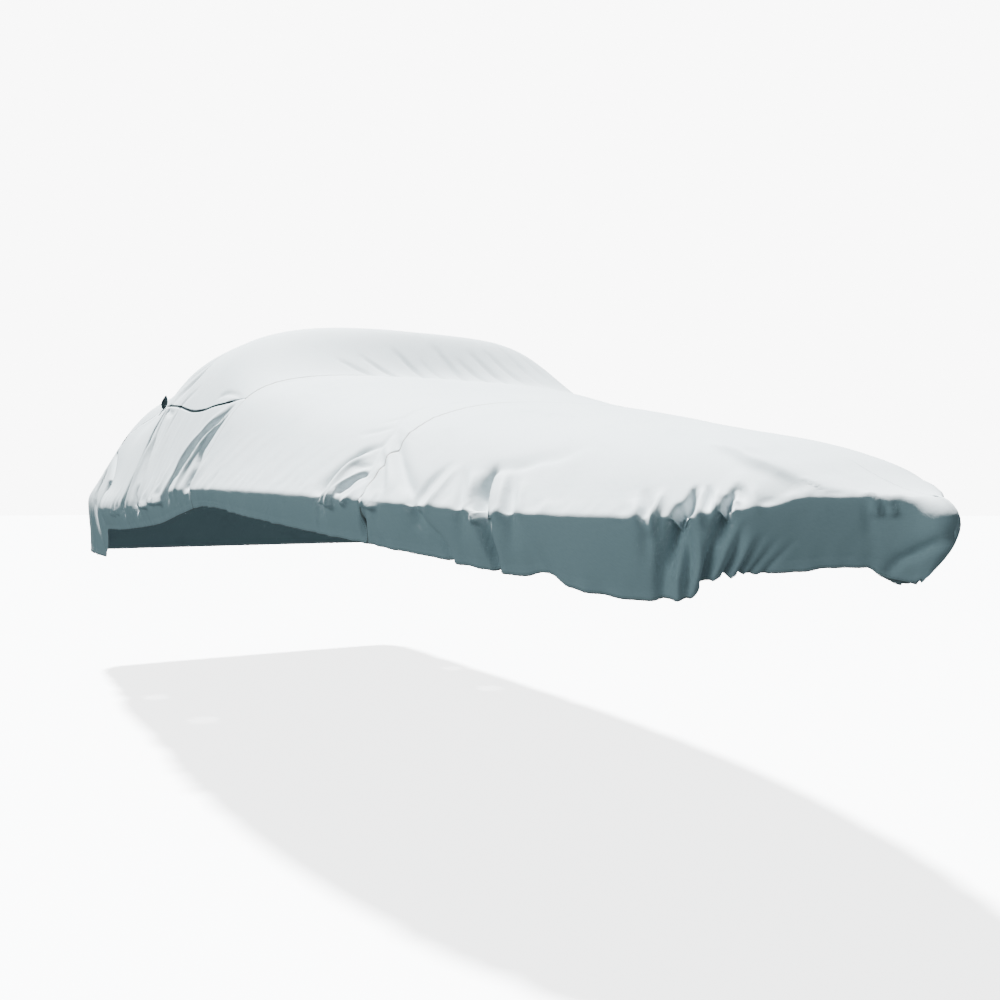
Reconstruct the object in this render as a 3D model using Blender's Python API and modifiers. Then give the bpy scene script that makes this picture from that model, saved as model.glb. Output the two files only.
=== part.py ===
"""Fitted cloth cover for a 22 ft open boat: bow, body, hood and transom panels with slit closures.

Metres. X points to the bow end, Y to port, Z up. The origin is the point under the hood's crown on
which the cover is held up. Inside this script the heights are first measured from the level line of
the cover's edge, and the stations from the stern end, and origin_shift() then moves them.
"""

import bmesh
import bpy
import numpy as np
from mathutils import Vector

# ---- driving dimensions -------------------------------------------------------------------------
CLOTH = 0.002                # thickness of the cloth
TAPE = 0.0012                # thickness of the closing tape
TAPE_WIDTH = 0.060
TAB_TALL = 0.085
TAB_WIDE = 0.040
SIDE_SEAM_GAP = 0.0019       # room between two panels at the side seam, where the cloth turns most
CROSS_SEAM_GAP = 0.0007      # and at the seams that run across
LAY_GAP = 0.0015             # room between the tape and the cloth over it
SUPPORT_X = 2.75             # the point that holds the cover up, from the stern end
SUPPORT_CLEAR = 0.004        # how far that point lies under the cloth's inner face
HOOD_FRONT_CENTRE = 3.95     # foot of the hood's front slope at the centre line
HOOD_FRONT_EDGE = 3.82       # edge station of the seam along that foot
SLOPE_FOOT_SIDE = 4.02       # foot of the front slope at the sides
SLOPE_CENTRE = 0.34          # length of the front slope at the centre line
SLOPE_SIDE = 0.90            # and at the sides
SLIT_OPEN = 0.010            # how far the slit gapes
LEG_OPENING = 0.08           # width of the opening for a leg
FRONT_LEG_X = 1.80
REAR_LEG_X = 1.05
SLIT_FRONT_X = 3.76
CROSS_SEAM_X = 5.22          # edge station of the seam between body and bow panel

# One row a station: x from the stern end, half width at the edge, height of the edge and of the hem,
# how far the hem is drawn in under the edge, and how far the skirt stands out on its way down.
STATION_COLUMNS = ("x", "half_width", "edge_z", "hem_z", "tuck", "belly")
STATIONS = (
    (0.00, 1.100, -0.010, -0.440, 0.000, 0.000),
    (0.06, 1.172, -0.020, -0.440, 0.005, 0.001),
    (0.25, 1.203, -0.030, -0.440, 0.020, 0.002),
    (0.60, 1.216, -0.050, -0.445, 0.040, 0.002),
    (1.00, 1.228, -0.065, -0.440, 0.055, 0.002),
    (1.12, 1.231, -0.070, -0.380, 0.055, 0.002),
    (1.30, 1.235, -0.080, -0.240, 0.045, 0.002),
    (1.60, 1.243, -0.085, -0.230, 0.050, 0.002),
    (1.95, 1.247, -0.080, -0.222, 0.055, 0.002),
    (2.60, 1.247, -0.060, -0.190, 0.055, 0.002),
    (3.00, 1.240, -0.042, -0.165, 0.050, 0.002),
    (3.20, 1.233, -0.025, -0.150, 0.045, 0.002),
    (3.40, 1.221, 0.000, -0.125, 0.040, 0.003),
    (3.60, 1.209, 0.020, -0.100, 0.030, 0.003),
    (4.00, 1.175, 0.020, -0.060, 0.022, 0.003),
    (4.50, 1.105, 0.010, -0.100, 0.025, 0.004),
    (5.00, 1.000, -0.010, -0.145, 0.032, 0.004),
    (5.50, 0.850, -0.034, -0.195, 0.040, 0.004),
    (5.84, 0.710, -0.054, -0.235, 0.050, 0.004),
    (5.90, 0.678, -0.056, -0.218, 0.050, 0.004),
    (5.96, 0.647, -0.058, -0.260, 0.050, 0.004),
    (6.17, 0.528, -0.062, -0.285, 0.060, 0.004),
    (6.26, 0.472, -0.060, -0.268, 0.065, 0.004),
    (6.31, 0.436, -0.050, -0.220, 0.068, 0.004),
    (6.36, 0.391, -0.042, -0.212, 0.070, 0.004),
    (6.42, 0.313, -0.030, -0.205, 0.070, 0.004),
    (6.46, 0.258, -0.012, -0.200, 0.070, 0.005),
    (6.50, 0.203, -0.011, -0.190, 0.070, 0.006),
    (6.555, 0.129, -0.011, -0.188, 0.070, 0.009),
    (6.580, 0.094, -0.011, -0.214, 0.070, 0.015),
    (6.610, 0.052, -0.011, -0.224, 0.066, 0.030),
    (6.632, 0.020, -0.011, -0.224, 0.060, 0.050),
    (6.640, 0.000, -0.012, -0.224, 0.058, 0.056),
)

# The cloth's low form, from stern to bow: station, height at the centre line, and fullness of the
# section (2 is an ellipse, more is squarer at the shoulder).
LOW_COLUMNS = ("x", "crown_z", "fullness")
LOW_FORM = (
    (0.00, 0.080, 2.20),
    (2.60, 0.580, 3.00),
    (3.30, 0.572, 3.30),
    (3.60, 0.565, 3.20),
    (3.95, 0.545, 3.00),
    (4.60, 0.420, 2.60),
    (5.30, 0.300, 2.25),
    (5.80, 0.215, 2.05),
    (6.20, 0.145, 2.00),
    (6.35, 0.095, 2.05),
    (6.46, 0.042, 2.15),
    (6.55, 0.008, 2.30),
    (6.64, -0.012, 2.30),
)

# The hood over it, with the same columns.
HOOD_FORM = (
    (0.00, 0.080, 2.10),
    (0.10, 0.130, 2.20),
    (0.30, 0.240, 2.40),
    (0.60, 0.430, 2.60),
    (1.15, 0.740, 2.60),
    (1.60, 0.802, 2.40),
    (2.00, 0.845, 2.45),
    (2.60, 0.900, 2.60),
    (3.20, 0.880, 2.80),
    (3.60, 0.820, 2.93),
    (4.60, 0.600, 3.10),
)

# How steeply the cloth comes up from the edge, where it is pulled straight: rise over run.
STEEPNESS_COLUMNS = ("x", "steepness")
WALLS = (
    (0.00, 1.80),
    (0.60, 2.70),
    (1.15, 2.80),
    (1.60, 2.50),
    (2.00, 2.50),
    (2.60, 2.60),
    (3.30, 2.40),
    (3.90, 1.90),
    (4.50, 1.35),
    (5.20, 1.05),
    (6.00, 0.90),
    (6.64, 0.90),
)
WALL_BLEND = 6.0             # how tightly the straight wall turns into the rounded top

# Radius, more or less, by which the cloth rounds its edge. It is slack and round at the stern end.
ROUNDING_COLUMNS = ("x", "radius")
ROUNDING = (
    (0.00, 0.070),
    (1.60, 0.075),
    (2.60, 0.050),
    (3.30, 0.028),
    (3.70, 0.008),
    (6.40, 0.007),
    (6.64, 0.012),
)

# Where the section through an edge station meets the centre line: aft of it at the bow, so that the
# sections fan out round the nose, and along the two seams.
FAN_COLUMNS = ("edge_x", "centre_x")
FAN = (
    (0.00, 0.00),
    (3.00, 3.00),
    (HOOD_FRONT_EDGE, HOOD_FRONT_CENTRE),
    (4.50, 4.53),
    (CROSS_SEAM_X, 5.05),
    (5.60, 5.50),
    (6.20, 6.06),
    (6.64, 6.35),
)

# The side seam with the slit in it, as a share of the way from the centre line to the edge.
SIDE_SEAM_COLUMNS = ("x", "share")
SIDE_SEAM = (
    (0.00, 0.93),
    (0.50, 0.82),
    (1.05, 0.715),
    (1.70, 0.605),
    (2.00, 0.615),
    (2.35, 0.650),
    (2.88, 0.694),
    (3.45, 0.745),
    (3.64, 0.720),
    (3.82, 0.680),
    (4.60, 0.680),
    (6.64, 0.660),
)

# Rows of the cloth's mesh: from this edge station to that one in so many steps.
ROW_COLUMNS = ("from_x", "to_x", "steps")
ROW_SPANS = (
    (0.00, 0.25, 2),
    (0.25, 0.91, 3),
    (0.91, 1.33, 4),
    (1.33, 2.20, 6),
    (2.20, HOOD_FRONT_EDGE, 15),
    (HOOD_FRONT_EDGE, 4.20, 4),
    (4.20, 4.95, 4),
    (4.95, CROSS_SEAM_X, 3),
    (CROSS_SEAM_X, 6.01, 8),
    (6.01, 6.36, 5),
    (6.36, 6.64, 5),
)
HOOD_COLUMNS = 7             # columns from the centre line to the side seam
WALL_COLUMNS = 5             # from the side seam to the edge
SKIRT_COLUMNS = 3            # from the edge to the hem

# Main folds. A fold runs from its first place over its middle to its last, each an edge station and a
# girth: 0 the centre line, 1 the edge, 2 the hem, and negative to starboard. A positive height is a
# ridge and a negative one a trough.
FOLD_COLUMNS = ("x0", "girth0", "x1", "girth1", "x2", "girth2", "half_width", "height")
FOLDS = (
    # slit's front end down to the edge: trough, thin ridge, trough
    (3.76, -0.72, 3.60, -0.84, 3.42, -1.15, 0.045, -0.026),
    (3.80, -0.74, 3.68, -0.86, 3.60, -1.10, 0.030, 0.022),
    (3.84, -0.75, 3.73, -0.88, 3.78, -1.20, 0.045, -0.026),
    # front leg opening down to the edge
    (2.48, -0.69, 2.56, -0.86, 2.72, -1.15, 0.060, -0.030),
    (2.40, -0.74, 2.40, -0.90, 2.44, -1.10, 0.060, 0.022),
    (2.33, -0.75, 2.26, -0.90, 2.18, -1.12, 0.065, -0.024),
    # rear leg opening down to the bulge over the edge
    (1.08, -0.79, 1.25, -0.87, 1.22, -0.97, 0.075, -0.032),
    (1.10, -0.98, 1.45, -1.06, 1.85, -1.00, 0.110, 0.024),
    (0.80, -0.85, 0.72, -1.00, 0.95, -1.50, 0.070, -0.020),
    # puckered cross seam and the folds that run into it
    (5.05, -0.55, 5.14, -0.76, 5.22, -0.98, 0.055, -0.016),
    (5.13, -0.79, 5.03, -0.88, 5.00, -1.02, 0.040, -0.016),
    (5.18, -0.85, 5.12, -0.93, 5.07, -1.05, 0.035, 0.018),
    (5.22, -0.78, 5.32, -0.88, 5.43, -1.06, 0.045, 0.016),
    # dark wedge and its neighbours over the edge
    (5.53, -0.82, 5.53, -0.90, 5.52, -0.99, 0.040, -0.014),
    (5.65, -0.82, 5.66, -0.90, 5.70, -1.05, 0.035, -0.022),
    (5.70, -0.82, 5.74, -0.90, 5.80, -1.02, 0.035, 0.014),
    (5.66, -0.82, 5.78, -0.76, 5.88, -0.61, 0.045, -0.010),
    # ridges that spill over the edge at the bow, and the long fold over the fore deck
    (6.12, -0.86, 6.15, -1.00, 6.16, -1.18, 0.045, 0.020),
    (6.26, -0.82, 6.28, -0.98, 6.29, -1.12, 0.032, 0.015),
    (6.35, -0.82, 6.36, -0.93, 6.37, -1.05, 0.030, 0.012),
    (6.22, -0.42, 6.36, -0.60, 6.455, -0.84, 0.055, 0.012),
    # skirt
    (5.70, -1.04, 5.72, -1.40, 5.72, -1.90, 0.035, -0.014),
    (6.21, -1.05, 6.21, -1.50, 6.20, -2.00, 0.040, -0.014),
    (6.30, -1.35, 6.28, -1.70, 6.27, -2.00, 0.030, 0.014),
    (6.38, -1.45, 6.36, -1.75, 6.34, -2.00, 0.028, 0.012),
    (6.635, -1.25, 6.61, -1.60, 6.575, -1.95, 0.030, -0.010),
    # hood: soft hollow between the two leg openings, and the drag line over the front shoulder
    (1.25, -0.66, 1.70, -0.63, 2.20, -0.62, 0.150, -0.026),
    (2.60, -0.67, 2.90, -0.60, 2.95, -0.50, 0.050, -0.012),
    # port side, the same pulls a little differently placed
    (3.74, 0.73, 3.60, 0.86, 3.46, 1.12, 0.055, -0.026),
    (2.46, 0.74, 2.52, 0.88, 2.64, 1.12, 0.065, -0.028),
    (2.32, 0.76, 2.24, 0.90, 2.14, 1.05, 0.070, -0.022),
    (1.10, 0.80, 1.28, 0.88, 1.30, 0.98, 0.075, -0.028),
    (0.80, 0.85, 0.72, 1.00, 0.90, 1.50, 0.070, -0.020),
    (5.05, 0.60, 5.13, 0.78, 5.20, 0.98, 0.055, -0.016),
    (5.24, 0.82, 5.33, 0.92, 5.42, 1.08, 0.045, 0.016),
    (5.64, 0.84, 5.65, 0.93, 5.68, 1.08, 0.040, -0.020),
    (6.10, 0.86, 6.12, 1.00, 6.14, 1.20, 0.045, 0.018),
    (6.22, 1.05, 6.22, 1.50, 6.22, 2.00, 0.040, -0.014),
    (1.25, 0.66, 1.70, 0.63, 2.20, 0.62, 0.150, -0.026),
    # across the rear slope
    (0.70, -0.60, 0.95, 0.00, 0.65, 0.55, 0.150, -0.020),
)

# ---- materials' colours, linear RGB ---------------------------------------------------------------
CLOTH_COLOUR = (0.52, 0.56, 0.58, 1.0)
TAPE_COLOUR = (0.020, 0.026, 0.028, 1.0)


# ---- reading the tables ---------------------------------------------------------------------------
def column(table, names, name):
    """One named column of a table, as an array."""
    return np.array([row[names.index(name)] for row in table], dtype=float)


def hermite(xs, ys, slopes, x):
    """Cubic through the points (xs, ys) with the given slopes, read at x."""
    x = np.clip(x, xs[0], xs[-1])
    i = np.clip(np.searchsorted(xs, x, side="right") - 1, 0, len(xs) - 2)
    step = xs[i + 1] - xs[i]
    t = (x - xs[i]) / step
    start = (2 * t**3 - 3 * t**2 + 1) * ys[i] + (t**3 - 2 * t**2 + t) * step * slopes[i]
    end = (3 * t**2 - 2 * t**3) * ys[i + 1] + (t**3 - t**2) * step * slopes[i + 1]
    return start + end


def smooth(xs, ys, x):
    """Smooth curve through the points that never overshoots them."""
    rise = np.diff(ys) / np.diff(xs)
    slopes = np.zeros_like(ys)
    both = rise[:-1] * rise[1:] > 0
    total = np.where(both, rise[:-1] + rise[1:], 1.0)
    slopes[1:-1] = np.where(both, 2 * rise[:-1] * rise[1:] / total, 0.0)
    slopes[0] = rise[0]
    slopes[-1] = rise[-1]
    return hermite(xs, ys, slopes, x)


def read(table, names, name, x):
    """A named column of a table as a smooth function of its first column."""
    return smooth(column(table, names, names[0]), column(table, names, name), x)


# ---- form of the cloth ----------------------------------------------------------------------------
class Outline:
    """The cover's edge in plan, from the stern corner round to the nose."""

    def __init__(self, samples=1600):
        x = column(STATIONS, STATION_COLUMNS, "x")
        y = column(STATIONS, STATION_COLUMNS, "half_width")
        # the mirrored stations past the nose give it a round end
        x_all = np.concatenate([x, x[-2:-4:-1]])
        y_all = np.concatenate([y, -y[-2:-4:-1]])
        run = np.concatenate([[0.0], np.cumsum(np.hypot(np.diff(x_all), np.diff(y_all)))])
        along = np.linspace(0.0, run[len(x) - 1], samples)
        self.x = hermite(run, x_all, np.gradient(x_all, run), along)
        self.y = hermite(run, y_all, np.gradient(y_all, run), along)
        self.x[-1] = x[-1]
        self.y[-1] = 0.0
        turn_x = np.gradient(self.x)
        turn_y = np.gradient(self.y)
        size = np.hypot(turn_x, turn_y)
        self.in_x = turn_y / size
        self.in_y = -turn_x / size
        self.in_x[-1] = -1.0
        self.in_y[-1] = 0.0

    def half_width(self, x):
        return np.interp(x, self.x, self.y)

    def inward(self, x):
        return np.interp(x, self.x, self.in_x), np.interp(x, self.x, self.in_y)


OUTLINE = Outline()


def section(height, fullness, share):
    """Height over the edge of a rounded section, at a share of the half width."""
    return height * (1.0 - share**fullness) ** (1.0 / fullness)


def smoothstep(t):
    t = np.clip(t, 0.0, 1.0)
    return t * t * (3.0 - 2.0 * t)


def form_height(x, y):
    """Height of the unfolded cloth over the level line, at a place in plan."""
    half_width = np.maximum(OUTLINE.half_width(x), 1e-6)
    share = np.clip(np.abs(y) / half_width, 0.0, 1.0)
    edge = read(STATIONS, STATION_COLUMNS, "edge_z", x)
    low_crown = read(LOW_FORM, LOW_COLUMNS, "crown_z", x) - edge
    low = section(low_crown, read(LOW_FORM, LOW_COLUMNS, "fullness", x), share)
    hood_crown = read(HOOD_FORM, LOW_COLUMNS, "crown_z", x) - edge
    hood = section(hood_crown, read(HOOD_FORM, LOW_COLUMNS, "fullness", x), share)
    foot = HOOD_FRONT_CENTRE + (SLOPE_FOOT_SIDE - HOOD_FRONT_CENTRE) * share**2
    slope = SLOPE_CENTRE + (SLOPE_SIDE - SLOPE_CENTRE) * share**2
    risen = smoothstep((foot - x) / slope)
    rounded = np.maximum(low + (np.maximum(hood, low) - low) * risen, 1e-6)
    steepness = read(WALLS, STEEPNESS_COLUMNS, "steepness", x)
    straight = np.maximum(steepness * (half_width - np.abs(y)), 1e-6)
    return edge + rounded * (1.0 + (rounded / straight) ** WALL_BLEND) ** (-1.0 / WALL_BLEND)


class Section:
    """The line of the cloth from the centre line over the edge to the hem, on the port side."""

    TOP_SAMPLES = 320
    SKIRT_SAMPLES = 60

    def __init__(self, x_edge):
        half_width = float(OUTLINE.half_width(x_edge))
        x_centre = read(FAN, FAN_COLUMNS, "centre_x", x_edge)
        out = np.sin(np.linspace(0.0, np.pi / 2, self.TOP_SAMPLES))
        top_x = x_centre + (x_edge - x_centre) * out**2
        top_y = half_width * out
        edge_z = read(STATIONS, STATION_COLUMNS, "edge_z", x_edge)
        top_z = form_height(top_x, top_y)
        top_z[-1] = edge_z
        down = np.linspace(0.0, 1.0, self.SKIRT_SAMPLES)[1:]
        hem_z = read(STATIONS, STATION_COLUMNS, "hem_z", x_edge)
        tuck = read(STATIONS, STATION_COLUMNS, "tuck", x_edge)
        belly = read(STATIONS, STATION_COLUMNS, "belly", x_edge)
        draw = tuck * down**1.3 - belly * np.sin(np.pi * down**0.75)
        in_x, in_y = OUTLINE.inward(x_edge)
        skirt_x = x_edge + in_x * draw
        skirt_y = np.maximum(half_width + in_y * draw, 0.0)
        skirt_z = edge_z + (hem_z - edge_z) * down
        self.points = np.stack([np.concatenate([top_x, skirt_x]),
                                np.concatenate([top_y, skirt_y]),
                                np.concatenate([top_z, skirt_z])], axis=1)
        self.measure()
        self.round_edge(float(read(ROUNDING, ROUNDING_COLUMNS, "radius", x_edge)))
        self.measure()

    def measure(self):
        steps = np.linalg.norm(np.diff(self.points, axis=0), axis=1)
        self.run = np.concatenate([[0.0], np.cumsum(steps)])
        self.edge_run = self.run[self.TOP_SAMPLES - 1]

    def round_edge(self, radius):
        """Rounds the corner at the edge by averaging the line over a radius to both sides."""
        reach = np.minimum(radius, self.run[-1] - self.run)
        total = np.zeros_like(self.points)
        shares = (1.0, 2.0, 3.0, 3.0, 2.0, 1.0)
        for share, offset in zip(shares, (-1.0, -0.6, -0.2, 0.2, 0.6, 1.0)):
            total += share * self.at_run(self.run + offset * reach)
        near = np.abs(self.run - self.edge_run) < 3.0 * radius
        self.points[near] = total[near] / sum(shares)

    def at_run(self, run):
        return np.stack([np.interp(run, self.run, self.points[:, k]) for k in range(3)], axis=-1)

    def run_of(self, girth):
        """Length along the cloth at a girth: 0 the centre line, 1 the edge, 2 the hem."""
        girth = np.abs(girth)
        skirt = self.run[-1] - self.edge_run
        return np.minimum(girth, 1.0) * self.edge_run + np.maximum(girth - 1.0, 0.0) * skirt

    def place(self, girth, slide=0.0):
        """Points at signed girths, moved a little along the cloth away from the centre line."""
        girth = np.asarray(girth, dtype=float)
        found = self.at_run(self.run_of(girth) + slide)
        found[..., 1] = np.where(girth < 0.0, -found[..., 1], found[..., 1])
        return found


def fold_line(fold, samples=12):
    """A fold's line on the unfolded cloth."""
    t = np.linspace(0.0, 1.0, samples)
    x0, g0, x1, g1, x2, g2 = fold[:6]
    x = (1 - t) ** 2 * x0 + 2 * t * (1 - t) * (2 * x1 - (x0 + x2) / 2) + t**2 * x2
    girth = (1 - t) ** 2 * g0 + 2 * t * (1 - t) * (2 * g1 - (g0 + g2) / 2) + t**2 * g2
    return np.array([Section(min(a, STATIONS[-1][0])).place(b) for a, b in zip(x, girth)])


def distance_to_line(points, line):
    """Distance of each point to a line of short runs, and how far along the line it is nearest."""
    best = np.full(len(points), np.inf)
    along = np.zeros(len(points))
    for k in range(len(line) - 1):
        run = line[k + 1] - line[k]
        t = np.clip(((points - line[k]) @ run) / max(run @ run, 1e-12), 0.0, 1.0)
        gap = np.linalg.norm(points - (line[k] + t[:, None] * run), axis=1)
        nearer = gap < best
        best = np.where(nearer, gap, best)
        along = np.where(nearer, (k + t) / (len(line) - 1), along)
    return best, along


def fold_heights(points):
    """How far the folds lift or sink the cloth at each point."""
    total = np.zeros(len(points))
    for fold in FOLDS:
        half_width, height = fold[6:]
        gap, along = distance_to_line(points, fold_line(fold))
        fade = np.sin(np.pi * (0.04 + 0.88 * along))
        total += height * fade * np.exp(-((gap / half_width) ** 2))
    return total


def origin_shift(points):
    """From stations and heights over the level line to the part's own frame."""
    support_z = float(form_height(np.array(SUPPORT_X), np.array(0.0))) - CLOTH - SUPPORT_CLEAR
    return points - np.array([SUPPORT_X, 0.0, support_z])


# ---- the net of rows and columns that all panels share --------------------------------------------
def row_stations():
    """Edge stations of the mesh rows, from stern to nose."""
    stations = [ROW_SPANS[0][0]]
    for from_x, to_x, steps in ROW_SPANS:
        stations.extend(np.linspace(from_x, to_x, steps + 1)[1:])
    return np.array(stations)


def column_girths(x_edge):
    """Signed girths of the mesh columns in one row, from the starboard hem to the port hem."""
    seam = float(read(SIDE_SEAM, SIDE_SEAM_COLUMNS, "share", x_edge))
    half = np.concatenate([
        np.linspace(0.0, seam, HOOD_COLUMNS + 1),
        np.linspace(seam, 1.0, WALL_COLUMNS + 1)[1:],
        np.linspace(1.0, 2.0, SKIRT_COLUMNS + 1)[1:],
    ])
    return np.concatenate([-half[:0:-1], half])


ROWS = row_stations()
MIDDLE = HOOD_COLUMNS + WALL_COLUMNS + SKIRT_COLUMNS
STARBOARD_SEAM = MIDDLE - HOOD_COLUMNS
PORT_SEAM = MIDDLE + HOOD_COLUMNS
HOOD_ROW = int(np.argmin(np.abs(ROWS - HOOD_FRONT_EDGE)))
CROSS_ROW = int(np.argmin(np.abs(ROWS - CROSS_SEAM_X)))


def slit_half_gap(x):
    """Half the room at the side seam: a hairline, and more along the open slit."""
    inside = smoothstep((x - FRONT_LEG_X) / 0.10) * smoothstep((SLIT_FRONT_X - x) / 0.12)
    return SIDE_SEAM_GAP / 2 + SLIT_OPEN / 2 * inside


def unit(vectors):
    return vectors / np.linalg.norm(vectors, axis=-1, keepdims=True)


def make_net():
    """Folded places of all the nodes, one row a station and one column a girth."""
    step = 0.004
    last = STATIONS[-1][0]
    flat, fore, across = [], [], []
    for x in ROWS:
        girths = column_girths(x)
        port_wards = np.where(girths < 0.0, -step, step)
        here = Section(x)
        ahead = Section(min(x + step, last))
        behind = Section(max(x - step, 0.0))
        flat.append(here.place(girths))
        fore.append(ahead.place(girths) - behind.place(girths))
        across.append(here.place(girths, port_wards) - here.place(girths, -port_wards))
    flat = np.array(flat)
    normal = np.cross(np.array(fore), np.array(across))
    # on the centre line the normal has no slant to a side, and at the nose itself it is taken as up
    normal[np.abs(flat[..., 1]) < 1e-9, 1] = 0.0
    normal[np.linalg.norm(normal, axis=-1) < 1e-9] = (0.0, 0.0, 1.0)
    heights = fold_heights(flat.reshape(-1, 3)).reshape(flat.shape[:2])
    return origin_shift(flat + unit(normal) * heights[..., None])


NET = make_net()


def draw_in(points, edge, neighbour, distance):
    """Moves the nodes of an edge along the cloth's facets, towards their neighbours."""
    return points[edge] + unit(points[neighbour] - points[edge]) * distance


# ---- building -------------------------------------------------------------------------------------
def clear_scene():
    for thing in list(bpy.data.objects):
        bpy.data.objects.remove(thing, do_unlink=True)


def make_collection(name):
    made = bpy.data.collections.new(name)
    bpy.context.scene.collection.children.link(made)
    return made


def make_material(name, colour, roughness):
    made = bpy.data.materials.new(name)
    made.use_nodes = True
    shader = made.node_tree.nodes["Principled BSDF"]
    shader.inputs["Base Color"].default_value = colour
    shader.inputs["Roughness"].default_value = roughness
    shader.inputs["Metallic"].default_value = 0.0
    return made


def add_sheet(name, points, thickness, material, collection, dropped=None):
    """A sheet on a net of points, made solid inwards. Dropped cells are left open."""
    rows, columns = points.shape[:2]
    sheet = bmesh.new()
    bmesh.ops.create_grid(sheet, x_segments=rows - 1, y_segments=columns - 1, size=1.0)
    sheet.verts.ensure_lookup_table()
    row_of = {}
    for vertex in sheet.verts:
        row = round((vertex.co.x + 1.0) / 2.0 * (rows - 1))
        place = round((vertex.co.y + 1.0) / 2.0 * (columns - 1))
        row_of[vertex] = (row, place)
    if dropped is not None:
        doomed = []
        for face in sheet.faces:
            row = min(row_of[corner][0] for corner in face.verts)
            place = min(row_of[corner][1] for corner in face.verts)
            if dropped(row, place):
                doomed.append(face)
        bmesh.ops.delete(sheet, geom=doomed, context="FACES")
    for vertex in sheet.verts:
        vertex.co = Vector(points[row_of[vertex]])
    bmesh.ops.remove_doubles(sheet, verts=sheet.verts, dist=0.0001)
    bmesh.ops.triangulate(sheet, faces=sheet.faces, quad_method="FIXED")
    mesh = bpy.data.meshes.new(name)
    sheet.to_mesh(mesh)
    sheet.free()
    mesh.shade_smooth()
    made = bpy.data.objects.new(name, mesh)
    made.data.materials.append(material)
    collection.objects.link(made)
    solid = made.modifiers.new("cloth thickness", "SOLIDIFY")
    solid.thickness = thickness
    solid.offset = -1.0
    return made


def add_body_panel(material, collection):
    """Deck strip ahead of the hood and the two long walls beside it, in one piece."""
    points = NET[:CROSS_ROW + 1].copy()
    points[-1] = draw_in(points, -1, -2, CROSS_SEAM_GAP / 2)
    deck = slice(STARBOARD_SEAM + 1, PORT_SEAM)
    points[HOOD_ROW, deck] = draw_in(points, (HOOD_ROW, deck), (HOOD_ROW + 1, deck), CROSS_SEAM_GAP / 2)
    for row in range(HOOD_ROW):
        gap = slit_half_gap(ROWS[row])
        for seam, outward in ((STARBOARD_SEAM, -1), (PORT_SEAM, 1)):
            points[row, seam] = draw_in(NET, (row, seam), (row, seam + outward), gap)

    def under_hood(row, place):
        return row < HOOD_ROW and STARBOARD_SEAM <= place < PORT_SEAM

    return add_sheet("body_panel", points, CLOTH, material, collection, under_hood)


def add_hood_panel(material, collection):
    points = NET[:HOOD_ROW + 1].copy()
    points[-1] = draw_in(points, -1, -2, SIDE_SEAM_GAP / 2)
    for row in range(HOOD_ROW + 1):
        gap = slit_half_gap(ROWS[row])
        for seam, inward in ((STARBOARD_SEAM, 1), (PORT_SEAM, -1)):
            points[row, seam] = draw_in(points, (row, seam), (row, seam + inward), gap)
    points = points[:, STARBOARD_SEAM:PORT_SEAM + 1]
    return add_sheet("hood_panel", points, CLOTH, material, collection)


def add_bow_panel(material, collection):
    points = NET[CROSS_ROW:].copy()
    points[0] = draw_in(points, 0, 1, CROSS_SEAM_GAP / 2)
    return add_sheet("bow_panel", points, CLOTH, material, collection)


def add_transom_panel(material, collection):
    """Drop across the stern, between the ends of the two skirts."""
    drops = 6
    bulge = 0.045
    top = NET[0, SKIRT_COLUMNS:-SKIRT_COLUMNS]
    hem_z = NET[0, 0, 2]
    half_width = top[-1, 1]
    rows = []
    for k in range(drops + 1):
        down = k / drops
        row = top.copy()
        row[:, 2] += (hem_z - top[:, 2]) * down
        flat = 1.0 - (row[:, 1] / half_width) ** 4
        row[:, 0] -= CLOTH + CROSS_SEAM_GAP / 2 + bulge * np.sin(np.pi * 0.8 * down) * flat
        rows.append(row)
    return add_sheet("transom_panel", np.array(rows)[::-1], CLOTH, material, collection)


def on_facets(row, column, along):
    """A point on the net's flat facets, part of the way from a row to the next and between columns."""
    c = min(int(column), NET.shape[1] - 2)
    across = column - c
    corner = NET[row, c]
    far_corner = NET[row + 1, c + 1]
    if along > across:
        side = NET[row + 1, c]
        return corner + (side - corner) * along + (far_corner - side) * across
    side = NET[row, c + 1]
    return corner + (side - corner) * across + (far_corner - side) * along


def hood_normals():
    """Outward normals at the nodes as far forward as the hood goes."""
    stretch = NET[:HOOD_ROW + 2]
    return unit(np.cross(np.gradient(stretch, axis=0), np.gradient(stretch, axis=1)))


def add_slit_tape(side, material, collection):
    """Dark tape that lies under both lips of the slit."""
    normals = hood_normals()
    seam = PORT_SEAM if side > 0 else STARBOARD_SEAM
    first = int(np.searchsorted(ROWS, FRONT_LEG_X + LEG_OPENING / 2))
    rows = []
    for row in range(first, HOOD_ROW - 1):
        lips = []
        for outward in (-1, 1):
            reach = np.linalg.norm(NET[row, seam + outward] - NET[row, seam])
            lips.append(outward * TAPE_WIDTH / 2 / reach)
        for along in (0.0, abs(lips[1]), 1.0 - abs(lips[0])):
            line = []
            for lip in (lips[0], 0.0, lips[1]):
                normal = normals[row, seam] * (1.0 - along) + normals[row + 1, seam] * along
                normal = unit(normal)
                line.append(on_facets(row, seam + lip, along) - normal * (CLOTH + LAY_GAP))
            rows.append(line)
    name = "slit_tape_port" if side > 0 else "slit_tape_starboard"
    return add_sheet(name, np.array(rows), TAPE, material, collection)


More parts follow.
